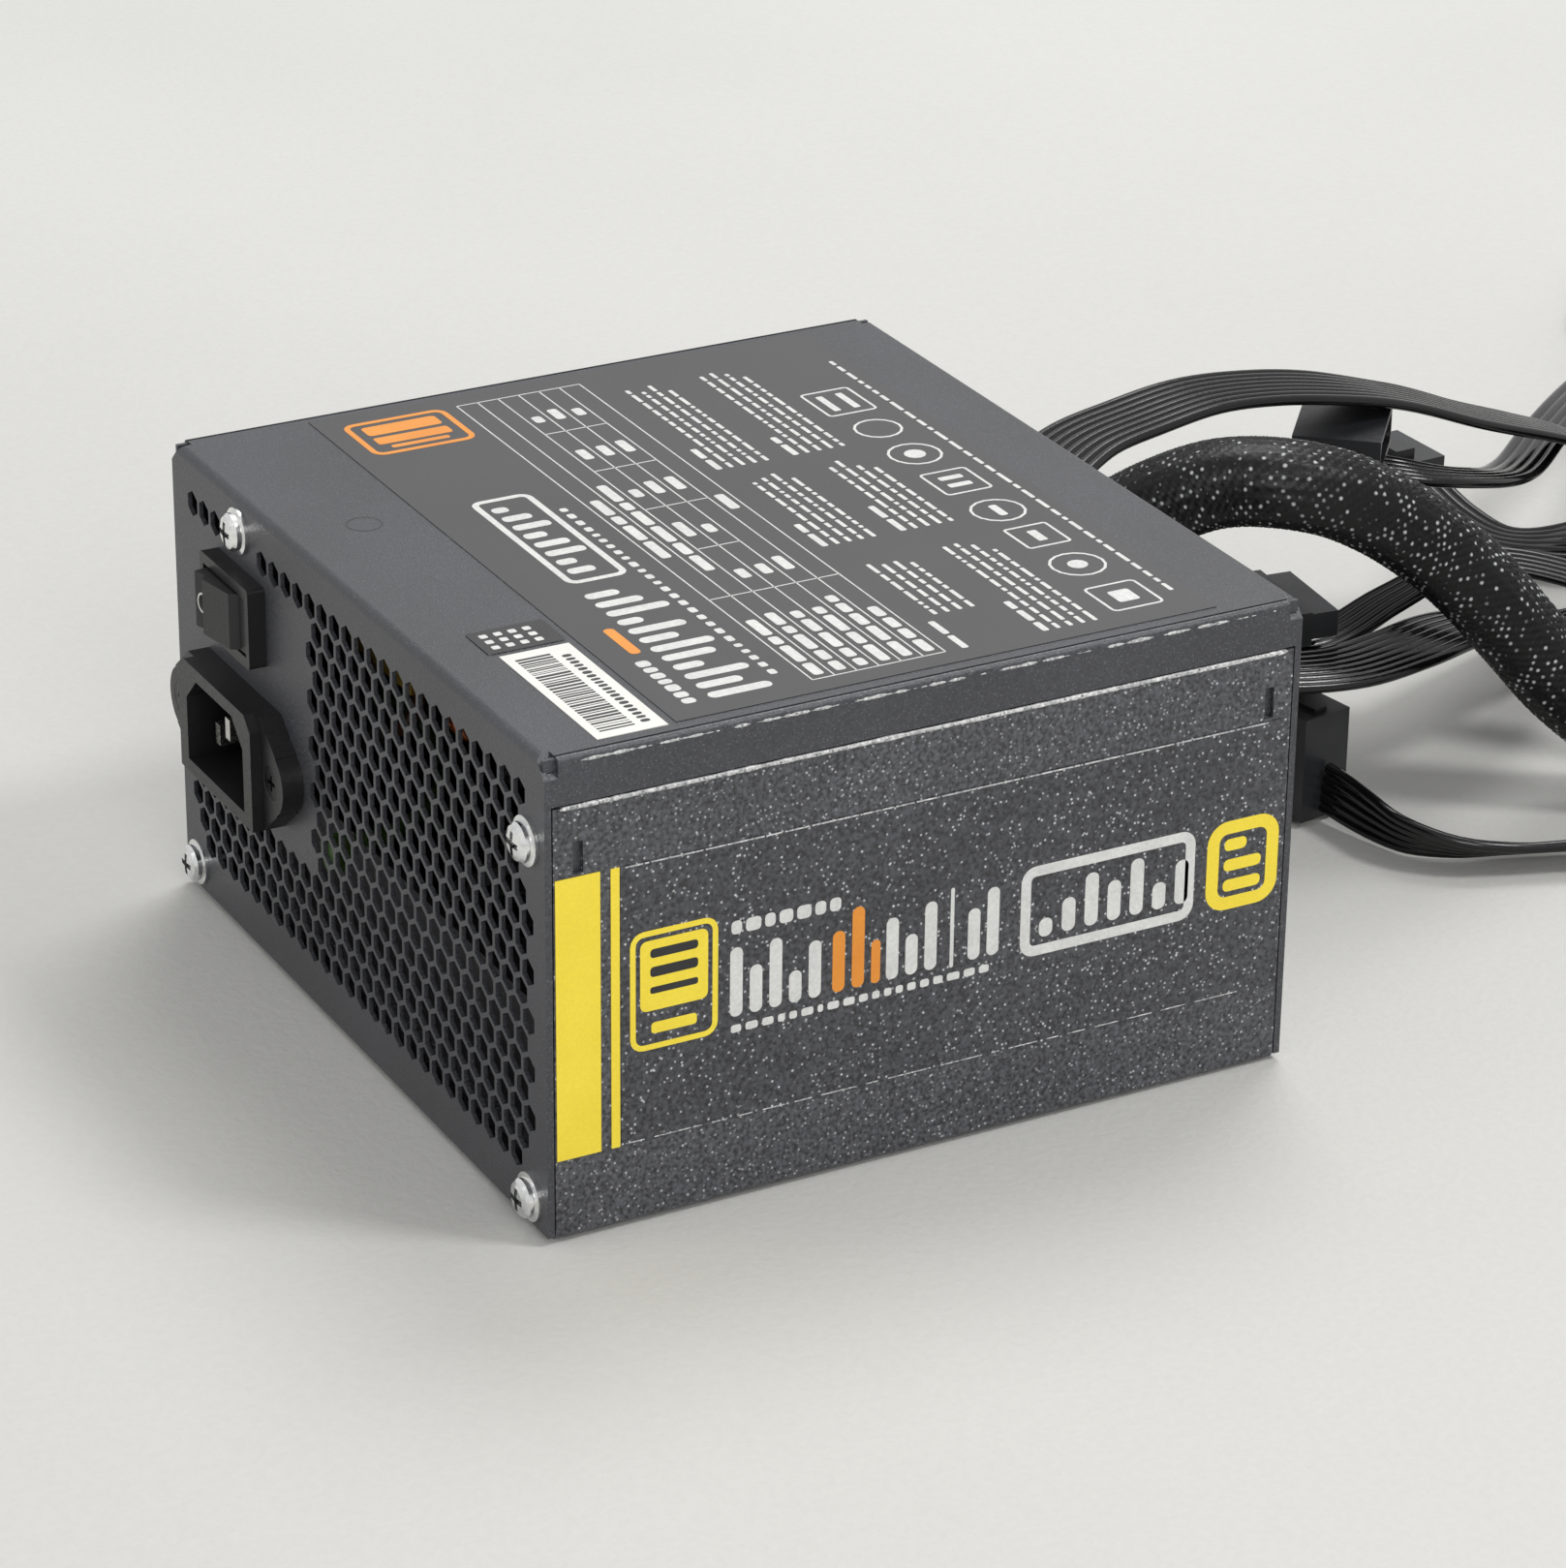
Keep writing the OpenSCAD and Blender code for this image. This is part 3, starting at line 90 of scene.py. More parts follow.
def makeStage(look):
    # a wide level sheet that swells by a few tenths of a millimetre, as laid cloth does
    side, count = look["side"], look["count"]
    line = np.linspace(-side, side, count)
    x, y = np.meshgrid(line, line, indexing="ij")
    z = -0.0006 + 0.0004 * np.sin(x * 9 + 1.3 * np.sin(y * 5)) * np.sin(y * 7 + 0.7)
    points = np.stack([x, y, z], -1).reshape(-1, 3)
    i, j = np.meshgrid(np.arange(count - 1), np.arange(count - 1), indexing="ij")
    a = (i * count + j).ravel()
    faces = np.stack([a, a + count, a + count + 1, a + 1], -1)
    mesh = bpy.data.meshes.new("floorSheet")
    mesh.from_pydata(points.tolist(), [], faces.tolist())
    mesh.polygons.foreach_set("use_smooth", np.ones(len(faces), bool))
    floor = bpy.data.objects.new("floorSheet", mesh)
    bpy.context.scene.collection.objects.link(floor)
    for name, place, size, power in look["lamps"]:
        lamp = bpy.data.lights.new(name, "AREA")
        lamp.shape, lamp.size, lamp.energy = "DISK", size, power
        holder = bpy.data.objects.new(name, lamp)
        bpy.context.scene.collection.objects.link(holder)
        holder.location = place
        ahead = Vector(look["aim"]) - Vector(place)
        holder.rotation_euler = ahead.to_track_quat("-Z", "Y").to_euler()
    world = bpy.data.worlds.new("studio")
    bpy.context.scene.world = world
    world.use_nodes = True
    tree = world.node_tree
    plain = tree.nodes["Background"]
    plain.inputs["Color"].default_value = (1, 1, 1, 1)
    # straight, mirrored and clear-through rays meet a paler backdrop than the room gives
    rays = tree.nodes.new("ShaderNodeLightPath")
    total = rays.outputs["Is Camera Ray"]
    for key in ("Is Glossy Ray", "Is Transmission Ray"):
        join = tree.nodes.new("ShaderNodeMath")
        join.operation = "MAXIMUM"
        tree.links.new(total, join.inputs[0])
        tree.links.new(rays.outputs[key], join.inputs[1])
        total = join.outputs[0]
    level = tree.nodes.new("ShaderNodeMapRange")
    level.inputs["To Min"].default_value = look["world"]
    level.inputs["To Max"].default_value = look["backdrop"]
    tree.links.new(total, level.inputs["Value"])
    tree.links.new(level.outputs[0], plain.inputs["Strength"])
    return floor


floor = makeStage(stageLook)
print("camera, floor and lamps are set")


def meshOf(name, points, faces, uv=None):
    # uv is one pair of numbers for each corner of each face
    mesh = bpy.data.meshes.new(name)
    mesh.from_pydata(np.asarray(points, float).tolist(), [], [list(f) for f in faces])
    if uv is not None:
        layer = mesh.uv_layers.new(name="UVMap")
        layer.data.foreach_set("uv", np.asarray(uv, np.float32).ravel())
    mesh.update()
    piece = bpy.data.objects.new(name, mesh)
    bpy.context.scene.collection.objects.link(piece)
    return piece


def smooth(piece, angle=40):
    # shades smooth, and keeps the edges that turn more than the angle sharp
    mesh = piece.data
    mesh.polygons.foreach_set("use_smooth", np.ones(len(mesh.polygons), bool))
    mesh.set_sharp_from_angle(angle=math.radians(angle))
    return piece


def gridPiece(name, grid, around=True, ends=True, loop=False, scale=(1, 1)):
    # grid[i, j]: i runs along the piece and j round it; each face joins four neighbours,
    # the last column meets the first when it goes round, the last row meets the first in
    # a loop, and otherwise a face closes each end
    rows, cols = grid.shape[:2]
    span = cols if around else cols - 1
    length = rows if loop else rows - 1
    i, j = np.meshgrid(np.arange(length), np.arange(span), indexing="ij")
    k, m = (j + 1) % cols, (i + 1) % rows
    quads = np.stack([i * cols + j, i * cols + k, m * cols + k, m * cols + j], -1)
    u = np.stack([j, j + 1, j + 1, j], -1) / span * scale[0]
    v = np.stack([i, i, i + 1, i + 1], -1) / length * scale[1]
    faces = quads.reshape(-1, 4)
    points = grid.reshape(-1, 3)
    if around:
        # the sign of the volume says whether the faces point outward
        a, b, c, d = (points[faces[:, n]] for n in range(4))
        volume = np.einsum("ij,ij->", a, np.cross(b, c)) + np.einsum("ij,ij->", a, np.cross(c, d))
        flip = volume < 0
    else:
        flip = False
    if flip:
        faces, u, v = faces[:, ::-1], u[..., ::-1], v[..., ::-1]
    corners = np.stack([u.reshape(-1), v.reshape(-1)], -1)
    polys = faces.tolist()
    if around and ends and not loop:
        first = list(range(cols))
        last = [(rows - 1) * cols + n for n in range(cols)]
        if flip:
            last.reverse()
        else:
            first.reverse()
        polys += [first, last]
        corners = np.vstack([corners, np.zeros((2 * cols, 2))])
    return meshOf(name, points, polys, corners)


def joinPieces(name, pieces):
    # one object out of several, material slots kept in order
    bpy.ops.object.select_all(action="DESELECT")
    for p in pieces:
        p.select_set(True)
    bpy.context.view_layer.objects.active = pieces[0]
    if len(pieces) > 1:
        bpy.ops.object.join()
    pieces[0].name = pieces[0].data.name = name
    return pieces[0]


def smoothPath(points, step):
    # a Hermite curve through the points, its slope at each point the mean slope of the
    # pieces beside it weighed by their lengths, sampled at an even step
    p = np.asarray(points, float)
    gap = np.maximum(np.linalg.norm(np.diff(p[:, :3], axis=0), axis=1), 1e-9)
    t = np.concatenate([[0], np.cumsum(gap)])
    slope = np.diff(p, axis=0) / gap[:, None]
    left, right = gap[:-1, None], gap[1:, None]
    inner = (slope[:-1] * right + slope[1:] * left) / (left + right)
    tangent = np.vstack([slope[:1], inner, slope[-1:]])
    s = np.linspace(0, t[-1], max(int(round(t[-1] / step)), 2) + 1)
    k = np.clip(np.searchsorted(t, s, side="right") - 1, 0, len(gap) - 1)
    h = gap[k][:, None]
    x = ((s - t[k])[:, None]) / h
    return ((2 * x**3 - 3 * x**2 + 1) * p[k] + (x**3 - 2 * x**2 + x) * h * tangent[k]
            + (3 * x**2 - 2 * x**3) * p[k + 1] + (x**3 - x**2) * h * tangent[k + 1])


def pathFrames(path):
    # t is the heading, u lies level to its right, and v points up from both
    t = np.gradient(path[:, :3], axis=0)
    t /= np.linalg.norm(t, axis=1)[:, None]
    u = np.cross(t, [0, 0, 1])
    u /= np.linalg.norm(u, axis=1)[:, None]
    return u, np.cross(u, t)


def sweep(name, path, section, scale=(1, 1)):
    # carries a section along a path: point = centre + x u + y v, with the section turned
    # about the heading by the path's fourth number; section is (rows or 1, columns, 2)
    u, v = pathFrames(path)
    turn = np.radians(path[:, 3])[:, None]
    x, y = section[..., 0], section[..., 1]
    across = x * np.cos(turn) - y * np.sin(turn)
    above = x * np.sin(turn) + y * np.cos(turn)
    grid = path[:, None, :3] + across[..., None] * u[:, None] + above[..., None] * v[:, None]
    return gridPiece(name, grid, scale=scale)


def runAlong(path):
    # distance from the first point to each point
    return np.concatenate([[0], np.cumsum(np.linalg.norm(np.diff(path[:, :3], axis=0), axis=1))])


def pathLength(path):
    return float(np.linalg.norm(np.diff(path[:, :3], axis=0), axis=1).sum())


def ribbonSection(wires, wireSize, web=0.12, arc=6):
    # a row of touching round wires: half circles side by side above, the same below,
    # joined by a thin web in the grooves
    r = wireSize / 2
    turn = np.linspace(math.pi, 0, arc + 2)[1:-1]
    centres = (np.arange(wires) - (wires - 1) / 2) * wireSize
    x = (centres[:, None] + r * np.cos(turn)).ravel()
    y = np.maximum(np.tile(r * np.sin(turn), wires), web * r)
    edge = wires * r
    top = np.stack([x, y], -1)
    return np.vstack([[[-edge, 0]], top, [[edge, 0]], -top])


def doubleCoil(ring, enter, leave, pitch, height, way, step=12):
    # two arms wound side by side on edge: the first winds in from the entry, an S bend
    # crosses the middle, and the second winds out to the exit, a half pitch away from the
    # first; way is +1 or -1 for the sense of winding
    centre, inner = np.array(ring[:2]), ring[2]
    a, b = np.array(enter[:2]) - centre, np.array(leave[:2]) - centre
    radiusA, radiusB = np.hypot(*a), np.hypot(*b)
    angleA = way * math.degrees(math.atan2(a[1], a[0]))
    angleB = way * math.degrees(math.atan2(b[1], b[0]))
    ahead = (angleB - angleA) % 360
    drop = pitch / 2 - pitch * ahead / 360
    dropA, dropB = max(drop, 0), max(-drop, 0)
    turnA = (radiusA - dropA - inner) / pitch * 360
    turnB = turnA - ahead + 180

    def arm(radius, less, turn, start):
        s = np.linspace(0, turn, int(turn / step) + 1)
        ease = np.clip(s / 60, 0, 1)
        ease = ease * ease * (3 - 2 * ease)
        r = radius - less * ease - (radius - less - inner) * s / turn
        angle = np.radians(start + s)
        return np.stack([r * np.cos(angle), r * np.sin(angle)], -1)

    armA = arm(radiusA, dropA, turnA, angleA)
    armB = arm(radiusB, dropB, turnB, angleB)
    end = math.radians(angleA + turnA)
    reach = np.array([math.cos(end), math.sin(end)]) * inner / 2
    side = np.array([-math.sin(end), math.cos(end)]) * inner / 2
    q = np.linspace(0, math.pi, 9)[1:, None]
    firstBend = reach + reach * np.cos(q) + side * np.sin(q)
    secondBend = -reach + reach * np.cos(q) - side * np.sin(q)
    flat = np.vstack([armA[1:], firstBend, secondBend[:-1], armB[::-1][:-1]])
    flat[:, 1] *= way
    flat += centre
    return np.column_stack([flat, np.full(len(flat), height), np.full(len(flat), 90.0)])


# the points of the solids in millimetres, each with the ribbon's turn in degrees
cordRoutes = {
    "main": [
        (-20, 68, 50.4, 0), (-20, 74, 51.6, 0), (-18, 86, 58.5, 0), (-13, 97, 65.5, 0),
        (-8, 107, 69.5, 0), (-2, 117, 69.8, 0), (1, 127, 67, 0), (2, 137, 61.5, 0), (3, 147, 54, 0),
        (6, 156, 45, 0), (9, 164, 35, 0), (13, 172, 25, 0), (19, 184, 15, 0), (26, 198, 9.8, 0),
        (35, 218, 9, 0), (45, 240, 9, 0), (52, 264, 9, 0), (55, 290, 9, 0), (51, 316, 9, 0),
        (40, 337, 9, 0), (24, 350, 9, 0), (6, 354, 9, 0)],
    "cpu": [
        (-25, 68, 64.8, 0), (-26, 74, 65.2, 0), (-31, 84, 68.2, 0), (-37, 95, 69.8, 0),
        (-41, 109, 70.5, 0), (-44, 125, 71, 0), (-45, 141, 69.5, 0), (-45, 157, 66.5, 0),
        (-47, 175, 60.5, 0), (-48, 191, 54, 0), (-51, 209, 47, 0), (-56, 229, 38, 0),
        (-64, 248, 26, 15), (-72, 264, 15, 50), (-79, 279, 8.8, 85), (-90, 292, 8.8, 90),
        (-100.6, 303, 8.8, 90)],
    "cpuBack": [
        (-33.4, 329, 8.8, 90), (-32, 342, 8.6, 80), (-31, 354, 7.6, 50), (-32, 366, 5.8, 15),
        (-36, 378, 5.2, 0), (-42, 388, 5.2, 0)],
    "graphics": [
        (-20, 68, 40.2, 0), (-20, 74, 39.8, 0), (-15, 90, 36.5, 0), (-10, 106, 32.5, 0),
        (-6, 120, 30, 0), (-4, 134, 29, 0), (-6, 148, 29, 0), (-11, 161, 28, 0), (-17, 173, 25, 0),
        (-25, 185, 19.5, 0), (-34, 199, 13, 0), (-42, 213, 9, 15), (-47, 229, 8.6, 55),
        (-50, 245, 8.8, 90), (-54.8, 262, 8.8, 90)],
    "graphicsBack": [
        (-52.5, 285.5, 8.8, 90), (-60, 268, 8.8, 85), (-68, 251, 7.8, 55), (-80, 239, 4.6, 18),
        (-95, 232, 2, 0), (-108, 230, 3, 0), (-120, 229.5, 5.6, 0)],
    "storage": [
        (-35, 68, 50, 0), (-35, 74, 49.6, 0), (-38, 90, 46, 0), (-42, 106, 44, 0),
        (-47, 122, 44.5, 0), (-50, 137, 47, 0), (-46, 150, 50, 0), (-39, 160, 52, 0),
        (-34, 172, 50, 0), (-38, 188, 45, 0), (-51, 205, 39, 0), (-67, 223, 37, 0),
        (-84, 243, 35, 0), (-102, 264, 31, 0), (-124, 282, 19, 0), (-145, 299.5, 10, 20),
        (-162, 313.5, 6.4, 55), (-177, 323.6, 5.8, 90)],
    "storageBack": [
        (-135.8, 352.8, 5.8, 90), (-134, 364, 5.8, 85), (-134, 376, 5, 60), (-138, 387, 3, 20),
        (-144, 396, 2.4, 0), (-151, 403, 3.8, 0)],
    "drive": [
        (-34, 68, 38.4, 0), (-34, 74, 38.2, 0), (-32, 88, 36, 0), (-29, 106, 31.5, 0),
        (-25, 124, 28, 0), (-23, 142, 26, 0), (-22, 156, 31.6, 0), (-17, 170, 38.5, 0),
        (-5, 187, 37, 0), (10, 201, 30, 0), (29, 211, 22.4, 0), (46, 216, 17, 5), (57, 215, 11, 35),
        (66, 208.6, 6.6, 75), (72.6, 201, 5.8, 90)],
    "driveBack": [
        (94, 188.6, 5.8, 90), (79, 187, 5.6, 110), (64, 186, 5, 130), (50, 180, 4.2, 148),
        (41, 170, 3.7, 152), (36, 160, 3.7, 152), (32, 149, 3.7, 152), (28, 139, 4.5, 140),
        (21, 132.4, 5.5, 118), (13, 130.6, 6, 100), (6, 129.6, 6.6, 90), (0, 128.6, 7.2, 90)],
}

ribbonCords = {
    "cpuCord": {"out": "cpu", "back": "cpuBack", "ring": (-74, 334, 24), "pitch": 13, "way": -1,
                "wires": 8, "height": 8.8},
    "graphicsCord": {"out": "graphics", "back": "graphicsBack", "ring": (-14, 270, 24),
                     "pitch": 13, "way": -1, "wires": 8, "height": 8.8},
    "storageCord": {"out": "storage", "back": "storageBack", "ring": (-171, 359, 20),
                    "pitch": 10, "way": -1, "wires": 5, "height": 5.8},
    "driveCord": {"out": "drive", "back": "driveBack", "ring": (100, 224, 20), "pitch": 10,
                  "way": 1, "wires": 5, "height": 5.8},
}
wireSize = 2.1


def makeRibbon(name, cord):
    out = np.array(cordRoutes[cord["out"]], float)
    back = np.array(cordRoutes[cord["back"]], float)
    coil = doubleCoil(cord["ring"], out[-1], back[0], cord["pitch"], cord["height"], cord["way"])
    path = smoothPath(np.vstack([out, coil, back]), 2.4)
    path[:, :3] *= 0.001
    section = ribbonSection(cord["wires"], wireSize * 0.001)
    piece = sweep(name, path, section[None], (cord["wires"], pathLength(path) / 0.1))
    smooth(piece, 50)
    return piece, path, coil


sleeveShape = {
    "size": 17.0,
    "around": 132,
    "step": 0.62,
    "strands": 22,
    "relief": 0.62,
    "lay": 40.0,
}


def makeSleeve(name, shape):
    # two families of strands wind round the tube in opposite senses, at strands / 2 x
    # (angle +/- wind); a strand's height is its cosine, and the larger of the two families
    # shows, which swaps from one crossing to the next as on a checker board
    path = smoothPath(np.array(cordRoutes["main"], float), shape["step"])
    length = runAlong(path)
    angle = np.linspace(0, 2 * math.pi, shape["around"], endpoint=False)[None]
    wind = length[:, None] * 2 * math.pi / shape["lay"]
    p = shape["strands"] / 2 * (angle + wind)
    q = shape["strands"] / 2 * (angle - wind)
    swap = np.cos(p) * np.cos(q)
    first = np.abs(np.sin(p)) ** 0.5 * (0.62 + 0.38 * np.cos(2 * q))
    second = np.abs(np.sin(q)) ** 0.5 * (0.62 - 0.38 * np.cos(2 * p))
    relief = shape["relief"] * (np.maximum(first, second) + 0.1 * swap - 0.5)
    bundle = 0.2 * np.cos(5 * angle + 1.1 * np.sin(length[:, None] / 31)) - 0.15
    radius = shape["size"] / 2 - 0.3 + relief + bundle
    section = np.stack([-radius * np.cos(angle), radius * np.sin(angle)], -1) * 0.001
    path[:, :3] *= 0.001
    rows = pathLength(path) * 1000 / shape["lay"] * shape["strands"]
    piece = sweep(name, path, section, (shape["strands"], rows))
    smooth(piece, 80)
    return piece, path


sleeve, sleevePath = makeSleeve("mainCord", sleeveShape)
ribbons = {name: makeRibbon(name, cord) for name, cord in ribbonCords.items()}
cordNodes = {
    "cpuCord": (("cpu_cable", "cpu_coil"), ("cpu_plugs",)),
    "graphicsCord": (("pcie_cable", "pcie_coil"), ("pcie_plug",)),
    "storageCord": (("sata_cable", "sata_coil"), ("sata_plugs",)),
    "driveCord": (("drive_cable", "drive_coil"), ("drive_plugs",)),
}
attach(sleeve, "case")
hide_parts("main_cable")
tuple(sleevePath[0, :3])
round(pathLength(sleevePath), 2)
for name, (piece, path, coil) in ribbons.items():
    solids, plugs = cordNodes[name]
    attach(piece, "case")
    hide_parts(*solids)
    tuple(path[0, :3])
    round(pathLength(path), 2)
    print(name, "is", round(pathLength(path), 3), "m")
print("mainCord is", round(pathLength(sleevePath), 3), "m")


tieShape = {"wide": 5.0, "thick": 0.3, "clear": 0.35, "corner": 2.6}


def makeTie(name, coil, ring, angle, height, shape):
    # a strap round the turns: a rounded rectangle from the innermost turn to the outermost
    # one and from the floor to the top of the ribbon, swept as a flat band
    flat = coil[:, :2] - np.array(ring[:2])
    turn = np.degrees(np.arctan2(flat[:, 1], flat[:, 0]))
    near = np.abs((turn - angle + 180) % 360 - 180) < 9
    reach = np.hypot(flat[:, 0], flat[:, 1])[near]
    reach = reach[reach > ring[2] - 2]
    low, high = reach.min() - 1.2 - shape["clear"], reach.max() + 1.2 + shape["clear"]
    bottom, top = 0.37, 2 * height - 0.3
    corner = shape["corner"]
    q = np.linspace(0, 2 * math.pi, 64, endpoint=False)
    dx, dz = np.cos(q), np.sin(q)
    cx, cz = (high - low) / 2, (top - bottom) / 2
    edgeX = (cx - corner) * np.sign(dx) * (np.abs(dx) > 1e-6)
    edgeZ = (cz - corner) * np.sign(dz) * (np.abs(dz) > 1e-6)
    midX, midZ = (low + high) / 2 + edgeX, (top + bottom) / 2 + edgeZ
    thick = corner + shape["thick"]
    inner = np.stack([midX + corner * dx, midZ + corner * dz], -1)
    outer = np.stack([midX + thick * dx, midZ + thick * dz], -1)
    half = shape["wide"] / 2
    radial = np.array([math.cos(math.radians(angle)), math.sin(math.radians(angle)), 0])
    along = np.array([-radial[1], radial[0], 0])
    up = np.array([0, 0, 1])
    centre = np.array([ring[0], ring[1], 0])

    def place(line, side):
        return centre + line[:, :1] * radial + line[:, 1:] * up + side * half * along

    grid = np.stack([place(inner, -1), place(outer, -1), place(outer, 1), place(inner, 1)], 1)
    piece = gridPiece(name, grid * 0.001, loop=True, scale=(1, 12))
    smooth(piece, 30)
    return piece


tieAngles = {"cpuCord": 110, "graphicsCord": 20, "storageCord": 40, "driveCord": 80}
ties = {}
for name, angle in tieAngles.items():
    cord = ribbonCords[name]
    tie = makeTie(name + "Tie", ribbons[name][2], cord["ring"], angle, cord["height"], tieShape)
    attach(tie, "case")
    ties[name] = tie

collarShape = {"long": 26.0, "radius": 8.85, "ribs": 5}


def makeCollar(name, path, shape):
    # a shrunk tube over the end of the sleeve: its radius eases out from the sleeve, holds,
    # and ripples slightly where the wires lie under it
    length = runAlong(path) * 1000
    part = path[length > length[-1] - shape["long"]]
    run = np.linspace(0, 1, len(part))[:, None]
    angle = np.linspace(0, 2 * math.pi, 72, endpoint=False)[None]
    edge = np.clip(np.minimum(run, 1 - run) * 14, 0, 1)
    radius = shape["radius"] - 0.5 + 0.5 * np.sqrt(edge * (2 - edge))
    radius = radius - 0.12 * (0.5 - 0.5 * np.cos(shape["ribs"] * angle + 2 * run)) * edge
    section = np.stack([-radius * np.cos(angle), radius * np.sin(angle)], -1) * 0.001
    piece = sweep(name, part, section, (8, 3))
    return smooth(piece, 60)


collar = makeCollar("mainCordCollar", sleevePath, collarShape)
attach(collar, "case")
print("cords, ties and collar are made")


def outline(rect, steps=4):
    # corners of a rounded rectangle: each corner's centre plus a quarter turn of its radius;
    # rect is (low x, low y, high x, high y, corner radius), many at once
    r = np.asarray(rect, float).reshape(-1, 5)
    radius = np.minimum(r[:, 4], np.minimum(r[:, 2] - r[:, 0], r[:, 3] - r[:, 1]) / 2)[:, None]
    turn = np.linspace(0, math.pi / 2, steps)
    turns = (turn[None] + np.arange(4)[:, None] * math.pi / 2).ravel()[None]
    signX = np.repeat([1, -1, -1, 1], steps)[None]
    signY = np.repeat([1, 1, -1, -1], steps)[None]
    halfX, halfY = (r[:, 2:3] - r[:, 0:1]) / 2, (r[:, 3:4] - r[:, 1:2]) / 2
    x = (r[:, 0:1] + r[:, 2:3]) / 2 + signX * (halfX - radius) + radius * np.cos(turns)
    y = (r[:, 1:2] + r[:, 3:4]) / 2 + signY * (halfY - radius) + radius * np.sin(turns)
    return np.stack([x, y], -1)


def onTop(flat, height):
    return np.concatenate([flat, np.full(flat.shape[:-1] + (1,), height)], -1)


def onSide(flat, height):
    return np.concatenate([np.full(flat.shape[:-1] + (1,), height), flat], -1)


def patches(name, rects, place, base, rise=0.03, steps=4):
    # each patch is its outline twice, at the base and a rise above it, with walls between
    flat = outline(rects, steps)
    count, n = flat.shape[:2]
    points = np.stack([place(flat, base), place(flat, base + rise)], 1)
    first = (np.arange(count) * 2 * n)[:, None]
    k = np.arange(n)[None]
    low = first + k
    low2 = first + (k + 1) % n
    walls = np.stack([low, low2, low2 + n, low + n], -1).reshape(-1, 4).tolist()
    lids = (first + n + k).tolist()
    floors = (first + k[:, ::-1]).tolist()
    return meshOf(name, points.reshape(-1, 3) * 0.001, walls + lids + floors)


def frames(name, rects, place, base, wide, rise=0.03, steps=5):
    # the same outline four times: outer low, outer high, inner high and inner low
    made = []
    for n, rect in enumerate(rects):
        outer = outline(rect, steps)[0]
        x0, y0, x1, y1, r = rect
        inner = outline((x0 + wide, y0 + wide, x1 - wide, y1 - wide, max(r - wide, 0.05)), steps)[0]
        grid = np.stack([place(outer, base), place(outer, base + rise),
                         place(inner, base + rise), place(inner, base)], 1)
        made.append(gridPiece(name + str(n), grid * 0.001, loop=True))
    return joinPieces(name, made)


def wordLine(seed, start, end, y, tall, wordMin=1.6, wordMax=6.0, gap=0.9):
    # dashes of uneven length, one after another from start to end
    rng = np.random.default_rng(seed)
    widths = rng.uniform(wordMin, wordMax, 60)
    edges = np.cumsum(widths + gap)
    run = abs(end - start)
    keep = edges < run
    right = edges[keep] - gap
    left = right - widths[keep]
    way = 1 if end > start else -1
    a, b = start + way * left, start + way * right
    low, high = np.minimum(a, b), np.maximum(a, b)
    return np.stack([low, np.full_like(low, y), high, np.full_like(low, y + tall),
                     np.full_like(low, tall * 0.3)], -1)


labelMarks = {
    "height": 86.13,
    "table": (-66.9, -18.25, 66.9, 6.25),
    "rows": 6,
    "columns": (31, 11, -8.5, -28, -47.5),
    "line": 0.26,
    "paragraphs": (67, 19.6, -19),
    "bars": [(66, 11.4), (62, 8.2), (58, 11.4), (54, 5.4), (50, 9.6), (46, 11.4), (42, 7.0),
             (38, 10.4), (34, 4.6), (30, 11.4), (26, 8.6), (22, 6.2)],
    "frame": (-24.6, 15),
    "meter": [3.0, 5.4, 7.0, 4.2, 6.4, 7.4, 3.6, 5.0],
    "signs": [(55, 39, 65.6, 49, 1.2), (40.5, 39, 50.5, 49, 5), (27, 40, 36.4, 48.6, 0.8),
              (14, 39, 24, 49, 5), (-1, 39.4, 9.6, 48.8, 1.0), (-15, 39, -5, 49, 5),
              (-28, 39.6, -19, 48.6, 4.5), (-44, 39, -32, 49, 1.0)],
    "signMarks": [(58, 42, 62.6, 46, 0.5), (43.7, 42.2, 47.3, 45.8, 1.8),
                  (29.4, 43.4, 34, 45.2, 0.3), (16.6, 43.2, 21.4, 44.8, 0.5),
                  (1.6, 41.8, 3.2, 46.4, 0.4), (5, 41.8, 6.6, 46.4, 0.4), (-12, 42, -8, 46, 2),
                  (-41.8, 41.2, -34.2, 42.6, 0.3), (-41.8, 45.2, -34.2, 46.6, 0.3)],
    "badge": (-67.25, -41, -51.5, -21, 2.4),
    "badgeBars": [(-64.8, -38.2, -60.6, -23.8, 0.8), (-59.4, -38.2, -56.2, -23.8, 0.6),
                  (-55.2, -36.6, -53.9, -25.4, 0.4)],
    "accent": (34, -39.6, 45, -37.6, 0.9),
}


